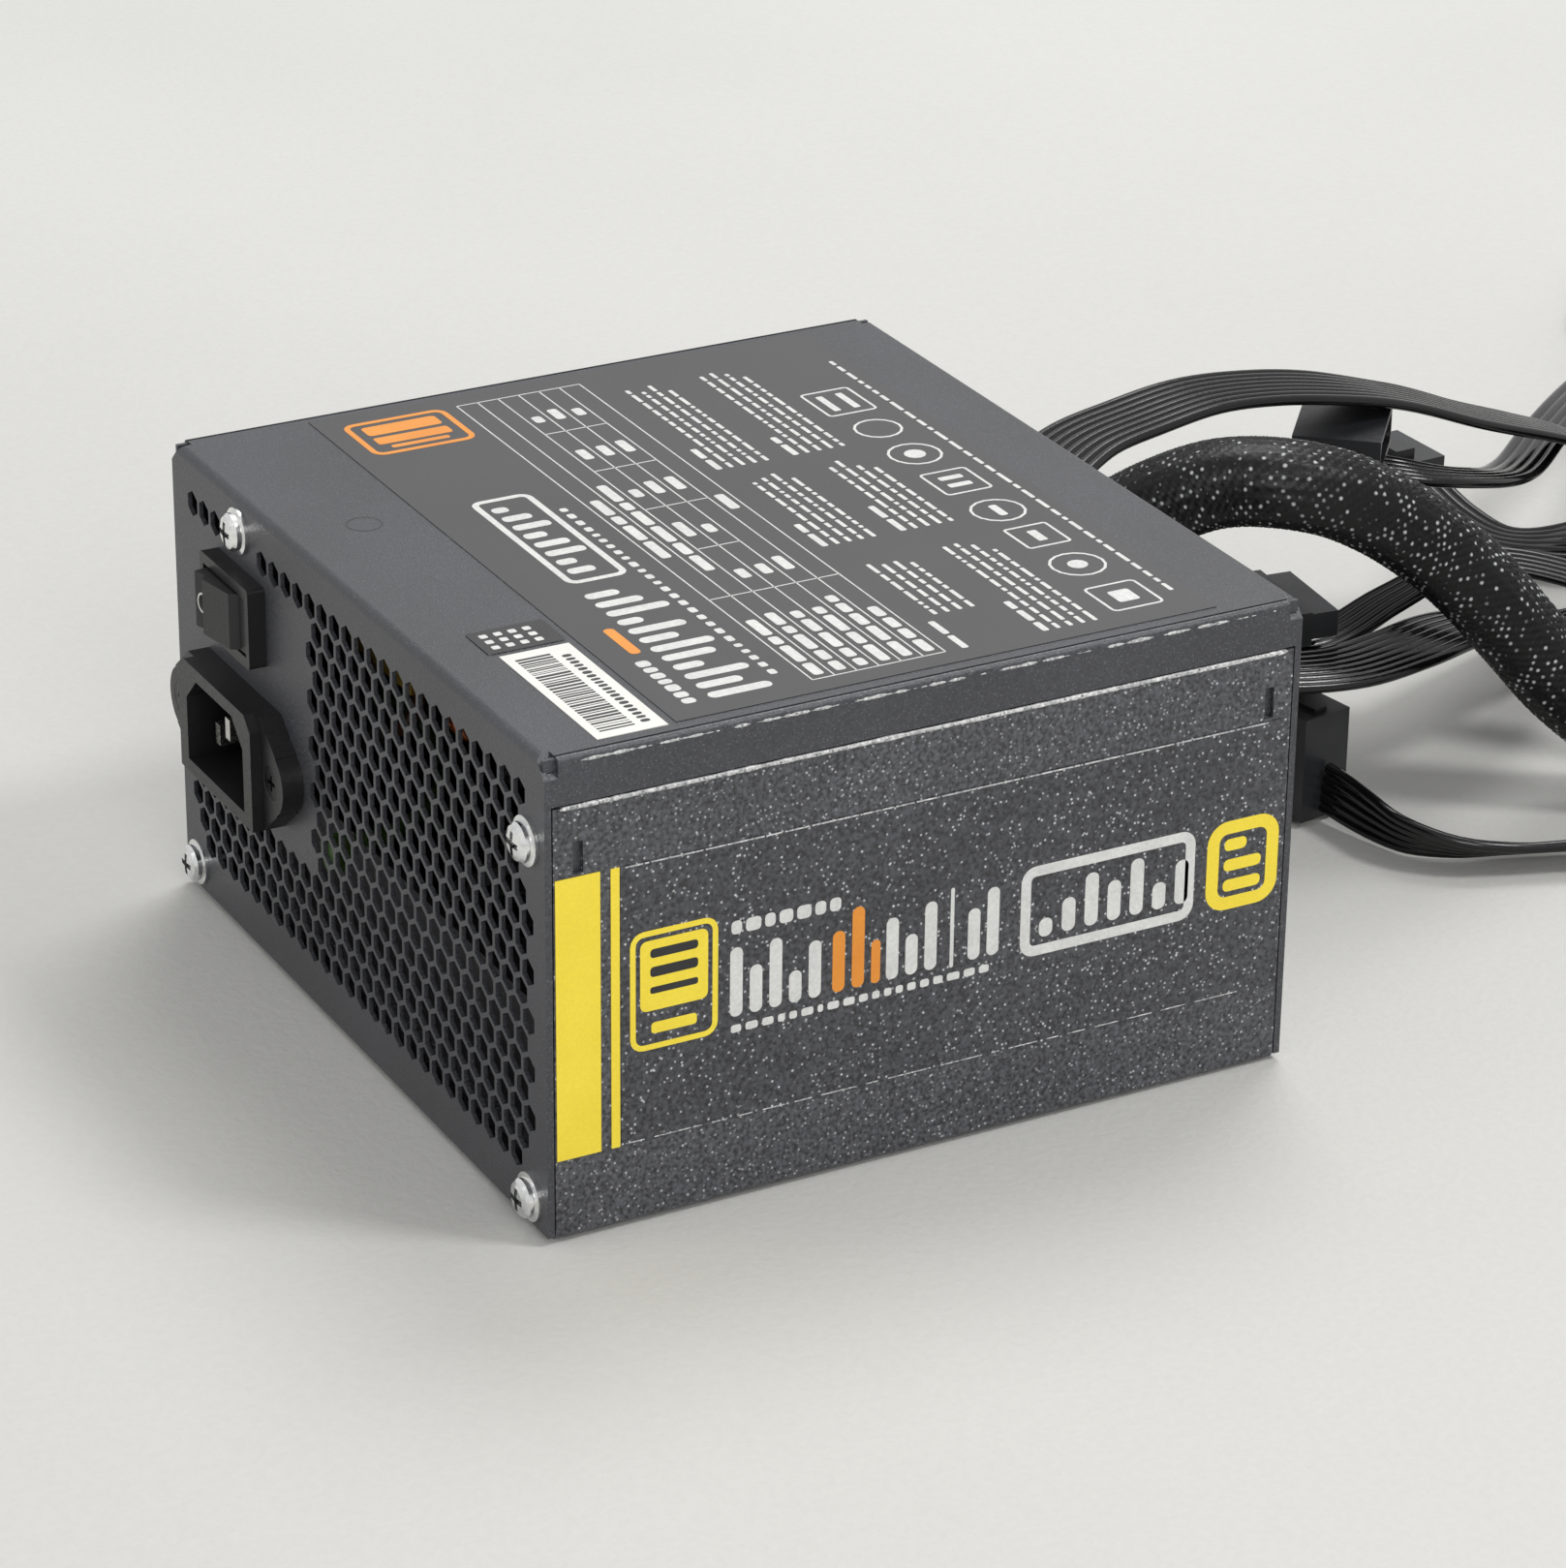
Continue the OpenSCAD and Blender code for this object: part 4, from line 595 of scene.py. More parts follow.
def labelPrint(marks):
    x0, y0, x1, y1 = marks["table"]
    line = marks["line"]
    height = marks["height"]
    pitch = (y1 - y0) / marks["rows"]
    ys = y0 + pitch * np.arange(marks["rows"] + 1)
    rules = [(x0, y - line / 2, x1, y + line / 2, 0.1) for y in ys]
    rules += [(x - line / 2, y0, x + line / 2, y1, 0.1) for x in (x0, x1, marks["columns"][0])]
    rules += [(x - line / 2, ys[2], x + line / 2, ys[5], 0.1) for x in marks["columns"][2:]]
    rules += [(marks["columns"][1] - line / 2, ys[2], marks["columns"][1] + line / 2, ys[4], 0.1)]
    made = [patches("labelRules", rules, onTop, height)]
    words = []
    for row in range(marks["rows"]):
        words.append(wordLine(row + 1, 65.5, 36 + 3 * (row % 2), ys[row] + 1.15, 1.9, 2.5, 7))
    for row in (2, 3, 4):
        for n, x in enumerate((31,) + marks["columns"][1:]):
            if row == 4 and n == 1:
                continue
            words.append(wordLine(20 + 5 * row + n, x - 5.5, x - 14.5, ys[row] + 1.15, 1.9, 3, 7))
    words.append(wordLine(41, 12, -20, ys[0] + 1.15, 1.9, 3, 8))
    words.append(wordLine(42, 20, -30, ys[1] + 1.15, 1.9, 3, 8))
    words.append(wordLine(43, -2, -14, ys[5] + 1.15, 1.9, 5, 8))
    for n, x in enumerate(marks["paragraphs"]):
        reach = (40, 34, 44)[n]
        first = x - 14 if n == 0 else x
        words.append(wordLine(50 + n, x, x - 16, 9.4, 1.25, 3, 6))
        words.append(wordLine(54 + n, x, x - 16, 24.6, 1.25, 3, 6))
        for k in range(4):
            last = k == 3
            words.append(wordLine(60 + 9 * n + k, first, x - reach + 3 * last,
                                  12 + 2.35 * k, 0.8, 1.0, 4.2, 0.7))
            words.append(wordLine(90 + 9 * n + k, x, x - reach + 4 * last,
                                  27.2 + 2.35 * k, 0.8, 1.0, 4.2, 0.7))
    words.append(wordLine(130, 62, -60, 52, 0.8, 1.4, 5))
    words.append(wordLine(131, 62, -18, -23.2, 1.4, 1.2, 2.2, 1.3))
    made.append(patches("labelWords", np.vstack(words), onTop, height))
    bars = [(a - 2.3, -36, a, -36 + tall, 1.1) for a, tall in marks["bars"]]
    left, right = marks["frame"]
    bars += [(left + 4 + 4.2 * k, -33.8, left + 6.3 + 4.2 * k, -33.8 + tall, 0.9)
             for k, tall in enumerate(marks["meter"])]
    made.append(patches("labelBars", bars, onTop, height, steps=5))
    made.append(frames("labelRings", [(left, -36, right, -24.6, 2.2)], onTop, height, 1.2, steps=6))
    topLine = wordLine(33, 66, 46, -40.8, 2.4, 1.4, 2.6, 0.6)
    made.append(patches("labelTopLine", topLine, onTop, height))
    made.append(frames("labelSigns", marks["signs"], onTop, height, 0.5))
    made.append(patches("labelSignMarks", marks["signMarks"], onTop, height))
    white = joinPieces("labelPrint", made)
    accents = [frames("labelBadge", [marks["badge"]], onTop, height, 1.1),
               patches("labelBadgeBars", marks["badgeBars"], onTop, height),
               patches("labelAccent", [marks["accent"]], onTop, height)]
    return white, joinPieces("labelAccents", accents)


labelWhite, labelOrange = labelPrint(labelMarks)

sideMarks = {
    "height": 75.13,
    "bars": [(-37.2, 12.5), (-33.6, 8.6), (-30.0, 12.5), (-26.4, 5.8), (-22.8, 10.4),
             (-8.4, 11.2), (-4.8, 7.4), (-1.2, 12.5), (7.0, 9.4), (10.6, 12.5)],
    "frame": (17.0, 50.8),
    "meter": [3.4, 6.2, 9.8, 7.4, 10.4, 5.0, 8.2],
    "last": (53.2, 14.2),
    "badge": (-55.2, 31.2, -39.4, 52.6, 2.4),
    "badgeBars": [(-53.4, 38.2, -41.2, 50.8, 1.2), (-51.4, 34, -43.2, 36, 0.6)],
    "badgeMarks": [(-51.6, 47.6, -43, 49.2, 0.6), (-51.6, 44.2, -43, 46, 0.6),
                   (-51.6, 41.2, -43, 42.4, 0.4)],
    "accent": [(-18.4, 33.5, -16.1, 44.6, 1.1), (-14.8, 33.5, -12.5, 48.2, 1.1),
               (-11.2, 33.5, -9.5, 41.4, 0.8)],
}


def sidePrint(marks):
    height = marks["height"]
    rects = [(a, 33.5, a + 2.3, 33.5 + tall, 1.1) for a, tall in marks["bars"]]
    rects += [(3.6, 33.0, 4.3, 47.6, 0.3)]
    left, right = marks["frame"]
    rects += [(left + 3.6 + 4.4 * k, 34.6, left + 6.2 + 4.4 * k, 34.6 + tall, 1.2)
              for k, tall in enumerate(marks["meter"])]
    words = np.vstack([wordLine(7, -37, 15, 30.6, 1.4, 1.0, 2.4, 0.8),
                       wordLine(8, -37, -16, 48.4, 2.4, 1.5, 2.8, 0.7)])
    white = joinPieces("sidePrint", [patches("sideBlocks", rects, onSide, height, steps=6),
                                     frames("sideWide", [(left, 31.4, right, 48, 2.8)],
                                            onSide, height, 1.9, steps=8),
                                     patches("sideWords", words, onSide, height)])
    a, w = marks["last"]
    near, far = a + 3.4, a + w - 3.4
    lines = [(near, 34.8, far, 37.0, 0.9), (near, 38.6, far, 40.8, 0.9),
             (near, 42.4, a + w - 6.4, 44.6, 0.9)]
    yellow = [frames("sideLast", [(a, 31.4, a + w, 48, 4.0)], onSide, height, 2.4, steps=8),
              patches("sideLastBar", lines, onSide, height),
              frames("sideBadge", [marks["badge"]], onSide, height, 1.0),
              patches("sideBadgeBars", marks["badgeBars"], onSide, height, steps=5)]
    orange = patches("sideAccent", marks["accent"], onSide, height, steps=6)
    dark = patches("sideBadgeMarks", marks["badgeMarks"], onSide, height + 0.03, 0.02)
    # painted highlight: thin bright dashes along the film's top and bottom edges, where the light
    # catches them
    edges = patches("filmEdgeHighlights", np.vstack([wordLine(11, -56, 67.5, 64.6, 0.26, 2.5, 16, 0.4),
                                            wordLine(12, -56, 67.5, 15.0, 0.2, 1.5, 9, 1.8)]),
                    onSide, height, 0.03, 3)
    return white, joinPieces("sideYellow", yellow), orange, dark, edges


sideWhite, sideYellow, sideOrange, sideDark, filmEdgeHighlights = sidePrint(sideMarks)


stickerMarks = {
    "bars": 44,
    "start": 38,
    "end": 69.6,
    "film": (25.4, -60.2, 34.6, -46.2, 0.6),
    "stamp": (-27.95, -58.6, -21.55, -52.2, 3.2),
}


def stickerPrint(marks):
    # upright bars of uneven width, a row of dashes beside them, and a grid on the small one
    rng = np.random.default_rng(5)
    wide = rng.uniform(0.22, 0.75, marks["bars"])
    gap = rng.uniform(0.22, 0.6, marks["bars"])
    left = marks["start"] + np.cumsum(wide + gap) - wide
    keep = left + wide < marks["end"]
    left, wide = left[keep], wide[keep]
    bars = np.stack([left, np.full_like(left, -57.4), left + wide, np.full_like(left, -51.2),
                     np.full_like(left, 0.05)], -1)
    words = wordLine(9, 69, 39, -49.9, 1.7, 0.8, 1.1, 0.5)
    dots = [(27 + 2.4 * i, -58.6 + 2.6 * j, 28.4 + 2.4 * i, -57.2 + 2.6 * j, 0.3)
            for j in range(4) for i in range(3)]
    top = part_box("barcode_sticker")[1].z * 1000
    stamp = frames("stampRing", [marks["stamp"]], onTop, 86.0, 0.3, 0.02, 12)
    ink = patches("stickerBars", np.vstack([bars, words]), onTop, top, 0.02, 3)
    film = patches("stickerFilm", [marks["film"]], onTop, top, 0.02, 4)
    small = patches("stickerDots", dots, onTop, top + 0.02, 0.02, 3)
    return joinPieces("stickerPrint", [ink, stamp, film]), small


stickerInk, stickerDots = stickerPrint(stickerMarks)
for piece, name in ((labelWhite, "white_paper"), (labelOrange, "yellow_film"),
                    (sideWhite, "white_paper"), (sideYellow, "yellow_film"),
                    (sideOrange, "yellow_film"), (sideDark, "black_sleeve"),
                    (stickerInk, "black_sleeve"), (stickerDots, "white_paper"),
                    (filmEdgeHighlights, "side_film")):
    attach(piece, "case")

rockerMark = {"tilt": 10.0, "radius": 1.5, "wide": 0.35}


def makeRockerMark(shape):
    # a ring lying on the raised end of the rocker: an ellipse of section swept round
    low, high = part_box("switch_rocker")
    turn = np.linspace(0, 2 * math.pi, 40, endpoint=False)
    part = np.linspace(0, 2 * math.pi, 8, endpoint=False)
    r = shape["radius"] + shape["wide"] / 2 * np.cos(part)[None]
    x = r * np.cos(turn)[:, None]
    z = r * np.sin(turn)[:, None] * 1.15
    y = np.broadcast_to(-0.05 * np.sin(part)[None], x.shape)
    tilt = math.radians(shape["tilt"])
    cx, cz = low.x * 1000 + 3.4, (low.z + high.z) * 500
    face = low.y * 1000 + math.tan(tilt) * 3.2
    grid = np.stack([cx + x * math.cos(tilt) - y * math.sin(tilt),
                     face + x * math.sin(tilt) + y * math.cos(tilt), cz + z], -1)
    return smooth(gridPiece("rockerMark", grid * 0.001, loop=True), 60)


# each bead, a painted highlight along a lit edge: its x and height, where it starts and ends along
# y, and its radius
highlightBeadShape = {"step": 0.5, "beads": ((74.82, 77.1, -68, 68, 0.48), (74.62, 84.95, -66, 66, 0.5))}


def makeRims(shape):
    # two long beads of painted highlight, where light catches the folded edges: the section is a
    # circle whose radius wanders by a seeded noise along the length, mostly sunk into the edge it
    # follows
    rng = np.random.default_rng(3)
    made = []
    for n, (x, z, low, high, size) in enumerate(shape["beads"]):
        y = np.arange(low, high, shape["step"])
        wander = np.convolve(rng.uniform(0.5, 1.2, len(y) + 4), np.ones(5) / 5, "valid")
        ends = np.clip(np.minimum(y - low, high - y) / 1.5, 0.05, 1)
        r = size * wander * ends
        turn = np.linspace(0, 2 * math.pi, 12, endpoint=False)[None]
        along = np.broadcast_to(y[:, None], (len(y), 12))
        grid = np.stack([x + r[:, None] * np.cos(turn), along, z + r[:, None] * np.sin(turn)], -1)
        made.append(smooth(gridPiece("rim" + str(n), grid * 0.001), 60))
    return joinPieces("edgeRims", made)


highlightBeads = makeRims(highlightBeadShape)
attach(highlightBeads, "case")

mark = makeRockerMark(rockerMark)
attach(mark, "rocker")
print("marks are printed")


def addNode(tree, kind, settings=None, **sockets):
    node = tree.nodes.new(kind)
    for key, value in (settings or {}).items():
        setattr(node, key, value)
    for key, value in sockets.items():
        socket = node.inputs[key.replace("_", " ")]
        if hasattr(value, "is_output"):
            tree.links.new(value, socket)
        else:
            socket.default_value = value
    return node


def srgb(r, g, b):
    # display value to scene value, by the usual curve
    c = np.array([r, g, b]) / 255
    c = np.where(c <= 0.04045, c / 12.92, ((c + 0.055) / 1.055) ** 2.4)
    return tuple(float(a) for a in c) + (1.0,)


def mixColour(tree, factor, a, b):
    node = addNode(tree, "ShaderNodeMix", {"data_type": "RGBA"})
    for socket, value in ((node.inputs[0], factor), (node.inputs[6], a), (node.inputs[7], b)):
        if hasattr(value, "is_output"):
            tree.links.new(value, socket)
        else:
            socket.default_value = value
    return node.outputs[2]


def ramp(tree, value, low, high, a=0.0, b=1.0):
    node = addNode(tree, "ShaderNodeMapRange", {"clamp": True})
    tree.links.new(value, node.inputs[0])
    for n, number in ((1, low), (2, high), (3, a), (4, b)):
        node.inputs[n].default_value = number
    return node.outputs[0]


def combine(tree, operation, a, b):
    # one number out of two, by the named operation
    node = addNode(tree, "ShaderNodeMath", {"operation": operation})
    tree.links.new(a, node.inputs[0])
    tree.links.new(b, node.inputs[1])
    return node.outputs[0]


def finish(name, look):
    # two tones mixed by a soft noise, a fine grain in the roughness and the height, and,
    # where asked for, bright flecks (painted glints on the paints and the sleeve, real specks on
    # the board), streaks along one axis, rows of a weave or fine lines
    mat = bpy.data.materials.new(name)
    mat.use_nodes = True
    tree = mat.node_tree
    shader = tree.nodes["Principled BSDF"]
    place = addNode(tree, "ShaderNodeTexCoord").outputs["UV" if look.get("uv") else "Object"]
    stretch = look.get("stretch")
    if stretch:
        turn = (0.0, 0.0, math.radians(look.get("turn", 0.0)))
        place = addNode(tree, "ShaderNodeMapping", Vector=place, Rotation=turn,
                        Scale=stretch).outputs[0]
    soft = addNode(tree, "ShaderNodeTexNoise", Vector=place, Scale=look.get("cloud", 60.0),
                   Detail=3.0)
    grain = addNode(tree, "ShaderNodeTexNoise", Vector=place, Scale=look.get("grain", 900.0),
                    Detail=2.0)
    tone = ramp(tree, soft.outputs[0], 0.32, 0.68)
    colour = mixColour(tree, tone, look["colour"], look.get("second", look["colour"]))
    # flecks: painted glints on the case paints, the side film and the sleeve, darker breaks in the
    # painted edge highlight, and real specks on the board
    if "fleckSize" in look:
        cells = addNode(tree, "ShaderNodeTexVoronoi", Vector=place, Scale=look["fleckSize"],
                        Randomness=look.get("fleckStray", 1.0))
        near = ramp(tree, cells.outputs["Distance"], look.get("fleckReach", 0.22), 0.08)
        pick = addNode(tree, "ShaderNodeSeparateColor", Color=cells.outputs["Color"]).outputs[0]
        chosen = ramp(tree, pick, 1 - look["flecks"], 1 - look["flecks"] + 0.12)
        fleckAndGlint = combine(tree, "MULTIPLY", near, chosen)
        colour = mixColour(tree, fleckAndGlint, colour, look["speckAndGlintColour"])
    speck = ramp(tree, grain.outputs[0], 0.35, 0.7, look.get("dim", 0.86), 1.0)
    shade = addNode(tree, "ShaderNodeVectorMath", {"operation": "SCALE"})
    tree.links.new(colour, shade.inputs[0])
    tree.links.new(speck, shade.inputs["Scale"])
    tree.links.new(shade.outputs[0], shader.inputs["Base Color"])
    rough = look.get("rough", 0.5)
    spread = look.get("spread", 0.08)
    tree.links.new(ramp(tree, grain.outputs[0], 0.3, 0.7, rough - spread, rough + spread),
                   shader.inputs["Roughness"])
    shader.inputs["Metallic"].default_value = look.get("metal", 0.0)
    shader.inputs["Specular IOR Level"].default_value = look.get("specular", 0.5)
    shader.inputs["Coat Weight"].default_value = look.get("coat", 0.0)
    shader.inputs["Coat Roughness"].default_value = look.get("coatRough", 0.15)
    shader.inputs["Transmission Weight"].default_value = look.get("clear", 0.0)
    if look.get("bump"):
        bump = addNode(tree, "ShaderNodeBump", Strength=look["bump"],
                       Distance=look.get("depth", 0.0001))
        height = grain.outputs[0]
        if look.get("lines"):
            axis = {"bands_direction": look.get("lineAxis", "X")}
            wave = addNode(tree, "ShaderNodeTexWave", axis, Vector=place, Scale=look["lines"],
                           Distortion=0.4)
            height = combine(tree, "ADD", grain.outputs[0], wave.outputs["Fac"])
        tree.links.new(height, bump.inputs["Height"])
        tree.links.new(bump.outputs[0], shader.inputs["Normal"])
    return mat


finishes = {
    # the light flecks in the chassis and cover paints are painted glints, grains of the coat
    # catching the light
    "chassis_paint": {"colour": srgb(66, 67, 71), "second": srgb(73, 74, 79), "cloud": 25.0,
                      "grain": 2300.0, "dim": 0.6, "rough": 0.42, "spread": 0.12, "bump": 0.7,
                      "depth": 0.00014, "fleckSize": 2400.0, "flecks": 0.22, "fleckReach": 0.4,
                      "speckAndGlintColour": srgb(116, 117, 122)},
    "cover_paint": {"colour": srgb(88, 89, 94), "second": srgb(98, 99, 104), "cloud": 30.0,
                    "grain": 1350.0, "dim": 0.26, "rough": 0.38, "spread": 0.14, "bump": 0.8,
                    "depth": 0.0002, "fleckSize": 1250.0, "flecks": 0.26, "fleckReach": 0.36,
                    "speckAndGlintColour": srgb(240, 241, 243)},
    "zinc_steel": {"colour": srgb(250, 250, 248), "second": srgb(226, 228, 229), "cloud": 300.0,
                   "grain": 1600.0, "dim": 0.92, "rough": 0.17, "spread": 0.06, "metal": 1.0,
                   "bump": 0.15, "depth": 0.00005},
    "black_steel": {"colour": srgb(34, 34, 36), "second": srgb(48, 48, 51), "cloud": 200.0,
                    "grain": 1200.0, "rough": 0.35, "metal": 0.7, "bump": 0.2, "depth": 0.00005},
    "label_film": {"colour": srgb(60, 60, 61), "second": srgb(66, 66, 68), "cloud": 18.0,
                   "grain": 2200.0, "dim": 0.93, "rough": 0.36, "spread": 0.05, "bump": 0.12,
                   "depth": 0.00004},
    "white_paper": {"colour": srgb(236, 235, 230), "second": srgb(228, 227, 221), "cloud": 120.0,
                    "grain": 1800.0, "dim": 0.96, "rough": 0.5, "bump": 0.08, "depth": 0.00003},
    # the white flecks in the film are painted glints, grains of the coat catching the light
    "side_film": {"colour": srgb(76, 77, 82), "second": srgb(86, 87, 92), "cloud": 30.0,
                  "grain": 1350.0, "dim": 0.28, "rough": 0.34, "spread": 0.12, "bump": 0.6,
                  "depth": 0.00018, "fleckSize": 1250.0, "flecks": 0.24, "fleckReach": 0.36,
                  "speckAndGlintColour": srgb(236, 237, 240)},
    "yellow_film": {"colour": srgb(250, 226, 66), "second": srgb(246, 219, 58), "cloud": 80.0,
                    "grain": 1600.0, "dim": 0.94, "rough": 0.42, "bump": 0.15, "depth": 0.00005},
    "black_nylon": {"colour": srgb(24, 24, 26), "second": srgb(32, 32, 34), "cloud": 90.0,
                    "grain": 2400.0, "dim": 0.85, "rough": 0.4, "specular": 0.4, "bump": 0.3,
                    "depth": 0.00005},
    "tin_plate": {"colour": srgb(206, 205, 200), "second": srgb(182, 182, 178), "cloud": 400.0,
                  "grain": 2000.0, "rough": 0.28, "metal": 1.0, "bump": 0.1, "depth": 0.00004},
    "brown_wire": {"colour": srgb(98, 60, 38), "second": srgb(110, 70, 46), "grain": 1800.0,
                   "rough": 0.38, "bump": 0.15, "depth": 0.00005},
    "green_wire": {"colour": srgb(46, 78, 34), "second": srgb(66, 84, 36), "grain": 1800.0,
                   "rough": 0.38, "bump": 0.15, "depth": 0.00005},
    "board_green": {"colour": srgb(28, 52, 34), "second": srgb(36, 64, 42), "cloud": 260.0,
                    "grain": 1400.0, "rough": 0.36, "bump": 0.3, "depth": 0.00006, "lines": 160.0,
                    "fleckSize": 320.0, "flecks": 0.2, "speckAndGlintColour": srgb(190, 186, 160)},
    "brass": {"colour": srgb(206, 172, 92), "second": srgb(190, 152, 78), "grain": 1500.0,
              "rough": 0.3, "metal": 1.0, "bump": 0.1, "depth": 0.00004},
    "clear_sheet": {"colour": srgb(196, 198, 196), "second": srgb(180, 184, 182), "grain": 500.0,
                    "rough": 0.25, "clear": 0.35, "bump": 0.12, "depth": 0.00008},
    "sink_metal": {"colour": srgb(186, 188, 190), "second": srgb(168, 170, 173), "grain": 900.0,
                   "rough": 0.34, "metal": 1.0, "stretch": (1.0, 1.0, 0.05), "bump": 0.2,
                   "depth": 0.00006},
    "black_epoxy": {"colour": srgb(30, 30, 31), "second": srgb(40, 40, 41), "grain": 2600.0,
                    "rough": 0.55, "bump": 0.3, "depth": 0.00005},
    "capacitor_sleeve": {"colour": srgb(34, 36, 46), "second": srgb(42, 44, 56), "grain": 900.0,
                         "rough": 0.3, "bump": 0.1, "depth": 0.00006, "lines": 40.0,
                         "lineAxis": "Z"},
    "copper_winding": {"colour": srgb(172, 92, 48), "second": srgb(196, 112, 60), "cloud": 180.0,
                       "grain": 900.0, "rough": 0.3, "metal": 0.9, "bump": 0.8, "depth": 0.0003,
                       "lines": 220.0, "lineAxis": "DIAGONAL"},
    "film_box": {"colour": srgb(132, 112, 46), "second": srgb(120, 100, 40), "grain": 1600.0,
                 "rough": 0.42, "bump": 0.15, "depth": 0.00005},
    "fuse_glass": {"colour": srgb(214, 216, 212), "second": srgb(196, 200, 198), "grain": 700.0,
                   "rough": 0.12, "spread": 0.04, "clear": 0.7, "bump": 0.05, "depth": 0.00003},
    "relay_blue": {"colour": srgb(40, 74, 150), "second": srgb(48, 84, 164), "grain": 1600.0,
                   "rough": 0.4, "bump": 0.15, "depth": 0.00005},
    "ferrite": {"colour": srgb(58, 56, 54), "second": srgb(74, 72, 70), "grain": 1900.0,
                "rough": 0.6, "bump": 0.5, "depth": 0.0001},
    "fan_plastic": {"colour": srgb(30, 30, 32), "second": srgb(38, 38, 40), "grain": 2200.0,
                    "rough": 0.38, "bump": 0.2, "depth": 0.00005},
    "guard_wire": {"colour": srgb(60, 61, 64), "second": srgb(74, 75, 78), "grain": 1500.0,
                   "rough": 0.32, "metal": 0.6, "bump": 0.15, "depth": 0.00005},
    "plug_white": {"colour": srgb(226, 224, 214), "second": srgb(216, 213, 202), "grain": 1800.0,
                   "rough": 0.42, "bump": 0.12, "depth": 0.00005},
    "black_rubber": {"colour": srgb(28, 28, 29), "second": srgb(38, 38, 40), "grain": 1500.0,
                     "rough": 0.55, "bump": 0.25, "depth": 0.00006},
    "inner_wire": {"colour": srgb(108, 34, 30), "second": srgb(128, 98, 36), "cloud": 45.0,
                   "grain": 1600.0, "rough": 0.4, "bump": 0.15, "depth": 0.00005},
    # the white flecks set in rows over the weave are painted glints, light caught on the strands
    "black_sleeve": {"colour": srgb(12, 12, 13), "second": srgb(22, 22, 23), "cloud": 3.0,
                     "grain": 9.0, "dim": 0.5, "rough": 0.36, "spread": 0.08, "bump": 0.3,
                     "specular": 0.25, "depth": 0.0001, "uv": True,
                     "stretch": (1.41421, 1.41421, 1.0), "turn": 45.0,
                     "fleckSize": 1.0, "fleckStray": 0.3, "flecks": 0.55,
                     "fleckReach": 0.3, "speckAndGlintColour": srgb(226, 228, 230)},
    "black_wire": {"colour": srgb(9, 9, 10), "second": srgb(18, 18, 19), "cloud": 70.0,
                   "grain": 1500.0, "dim": 0.8, "rough": 0.18, "specular": 0.4,
                   "spread": 0.06, "bump": 0.12, "depth": 0.00006},
    "plug_black": {"colour": srgb(30, 31, 33), "second": srgb(40, 41, 44), "cloud": 120.0,
                   "grain": 2600.0, "rough": 0.36, "bump": 0.25, "depth": 0.00005},
}
made = {name: finish(name, look) for name, look in finishes.items()}
for name, node in nodes.items():
    for holder in node.material_slots:
        key = holder.material.name.split(".")[0] if holder.material else ""
        if key not in made:
            print("no finish for", name, key)
        else:
            holder.material = made[key]


def give(piece, mat):
    piece.data.materials.clear()
    piece.data.materials.append(mat)


orangeInk = finish("orangeInk", {"colour": srgb(236, 152, 52), "second": srgb(228, 142, 46),
                                 "cloud": 90.0, "grain": 1600.0, "dim": 0.94, "rough": 0.42,
                                 "bump": 0.12, "depth": 0.00004})
blackInk = finish("blackInk", {"colour": srgb(34, 34, 36), "second": srgb(42, 42, 44),
                               "cloud": 150.0, "grain": 1900.0, "rough": 0.45, "bump": 0.1,
                               "depth": 0.00004})
whiteInk = finish("whiteInk", {"colour": srgb(226, 226, 223), "second": srgb(214, 214, 212),
                               "cloud": 150.0, "grain": 1500.0, "dim": 0.86, "rough": 0.45,
                               "bump": 0.12, "depth": 0.00004})
# painted highlight: near-white paint broken by darker flecks, for the bright lines where light
# catches the folded edges and the film's edges
rimPaint = finish("rimPaint", {"colour": srgb(248, 248, 247), "second": srgb(188, 189, 191),
                               "cloud": 700.0, "grain": 2200.0, "dim": 0.5, "rough": 0.24,
                               "bump": 0.4, "depth": 0.0001, "fleckSize": 1500.0, "flecks": 0.4,
                               "fleckReach": 0.5, "speckAndGlintColour": srgb(88, 89, 92)})
give(highlightBeads, rimPaint)
give(filmEdgeHighlights, rimPaint)
give(sleeve, made["black_sleeve"])
give(collar, made["black_rubber"])
for piece, path, coil in ribbons.values():
    give(piece, made["black_wire"])
for tie in ties.values():
    give(tie, made["black_rubber"])
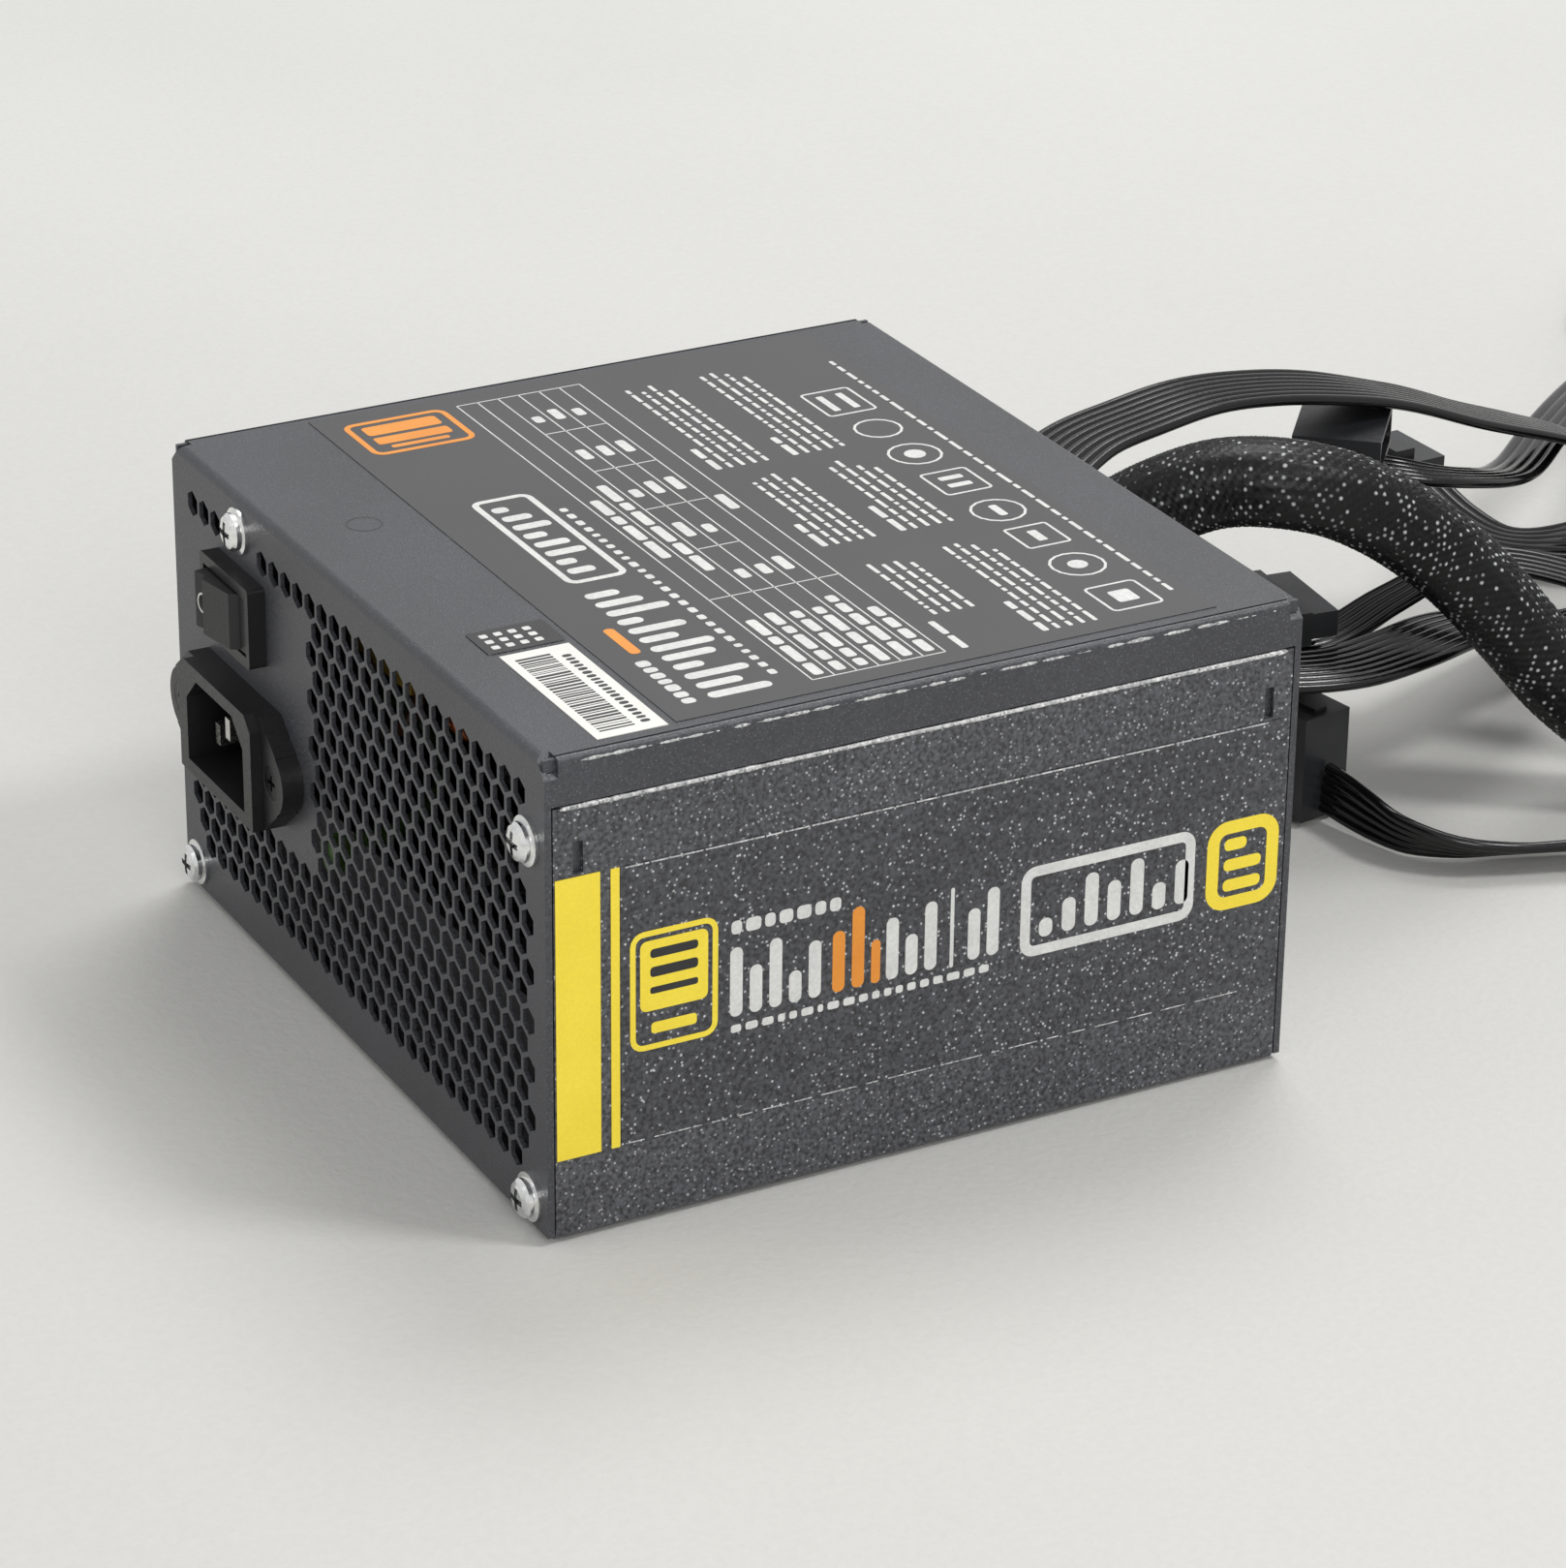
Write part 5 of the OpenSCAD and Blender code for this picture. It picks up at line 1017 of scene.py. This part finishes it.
for piece, mat in ((labelWhite, whiteInk), (labelOrange, orangeInk), (sideWhite, whiteInk),
                   (sideYellow, made["yellow_film"]), (sideOrange, orangeInk), (sideDark, blackInk),
                   (stickerInk, blackInk), (stickerDots, whiteInk), (mark, whiteInk)):
    give(piece, mat)


def floorFinish(look):
    # pale cloth: a painted light that grows paler with distance, a fine weave and painted shade in
    # faint soft creases
    mat = bpy.data.materials.new("floorCloth")
    mat.use_nodes = True
    tree = mat.node_tree
    shader = tree.nodes["Principled BSDF"]
    place = addNode(tree, "ShaderNodeTexCoord").outputs["Object"]
    axes = addNode(tree, "ShaderNodeSeparateXYZ", Vector=place)
    # painted light: the cloth grows paler away from the camera, towards the bright backdrop
    far = ramp(tree, axes.outputs[0], -0.15, -1.1)
    creaseShadeNoise = addNode(tree, "ShaderNodeTexNoise", Vector=place, Scale=5.0, Detail=4.0)
    grain = addNode(tree, "ShaderNodeTexNoise", Vector=place, Scale=650.0, Detail=2.0)
    colour = mixColour(tree, far, look["floorColour"] + (1,), look["farLitColour"] + (1,))
    # painted shade: the cloth darkens slightly in its soft creases
    dim = ramp(tree, creaseShadeNoise.outputs[0], 0.35, 0.65, 0.965, 1.0)
    fine = ramp(tree, grain.outputs[0], 0.3, 0.7, 0.97, 1.0)
    shade = addNode(tree, "ShaderNodeVectorMath", {"operation": "SCALE"})
    tree.links.new(colour, shade.inputs[0])
    tree.links.new(combine(tree, "MULTIPLY", dim, fine), shade.inputs["Scale"])
    tree.links.new(shade.outputs[0], shader.inputs["Base Color"])
    shader.inputs["Roughness"].default_value = 0.9
    shader.inputs["Specular IOR Level"].default_value = 0.2
    bump = addNode(tree, "ShaderNodeBump", Strength=0.3, Distance=0.0004, Height=grain.outputs[0])
    tree.links.new(bump.outputs[0], shader.inputs["Normal"])
    # seen from below the cloth is clear, so that the fan side can be looked at
    side = addNode(tree, "ShaderNodeNewGeometry").outputs["Backfacing"]
    clear = addNode(tree, "ShaderNodeBsdfTransparent")
    pick = addNode(tree, "ShaderNodeMixShader")
    tree.links.new(side, pick.inputs[0])
    tree.links.new(shader.outputs[0], pick.inputs[1])
    tree.links.new(clear.outputs[0], pick.inputs[2])
    tree.links.new(pick.outputs[0], tree.nodes["Material Output"].inputs["Surface"])
    return mat


give(floor, floorFinish(stageLook))
print("finishes are given")
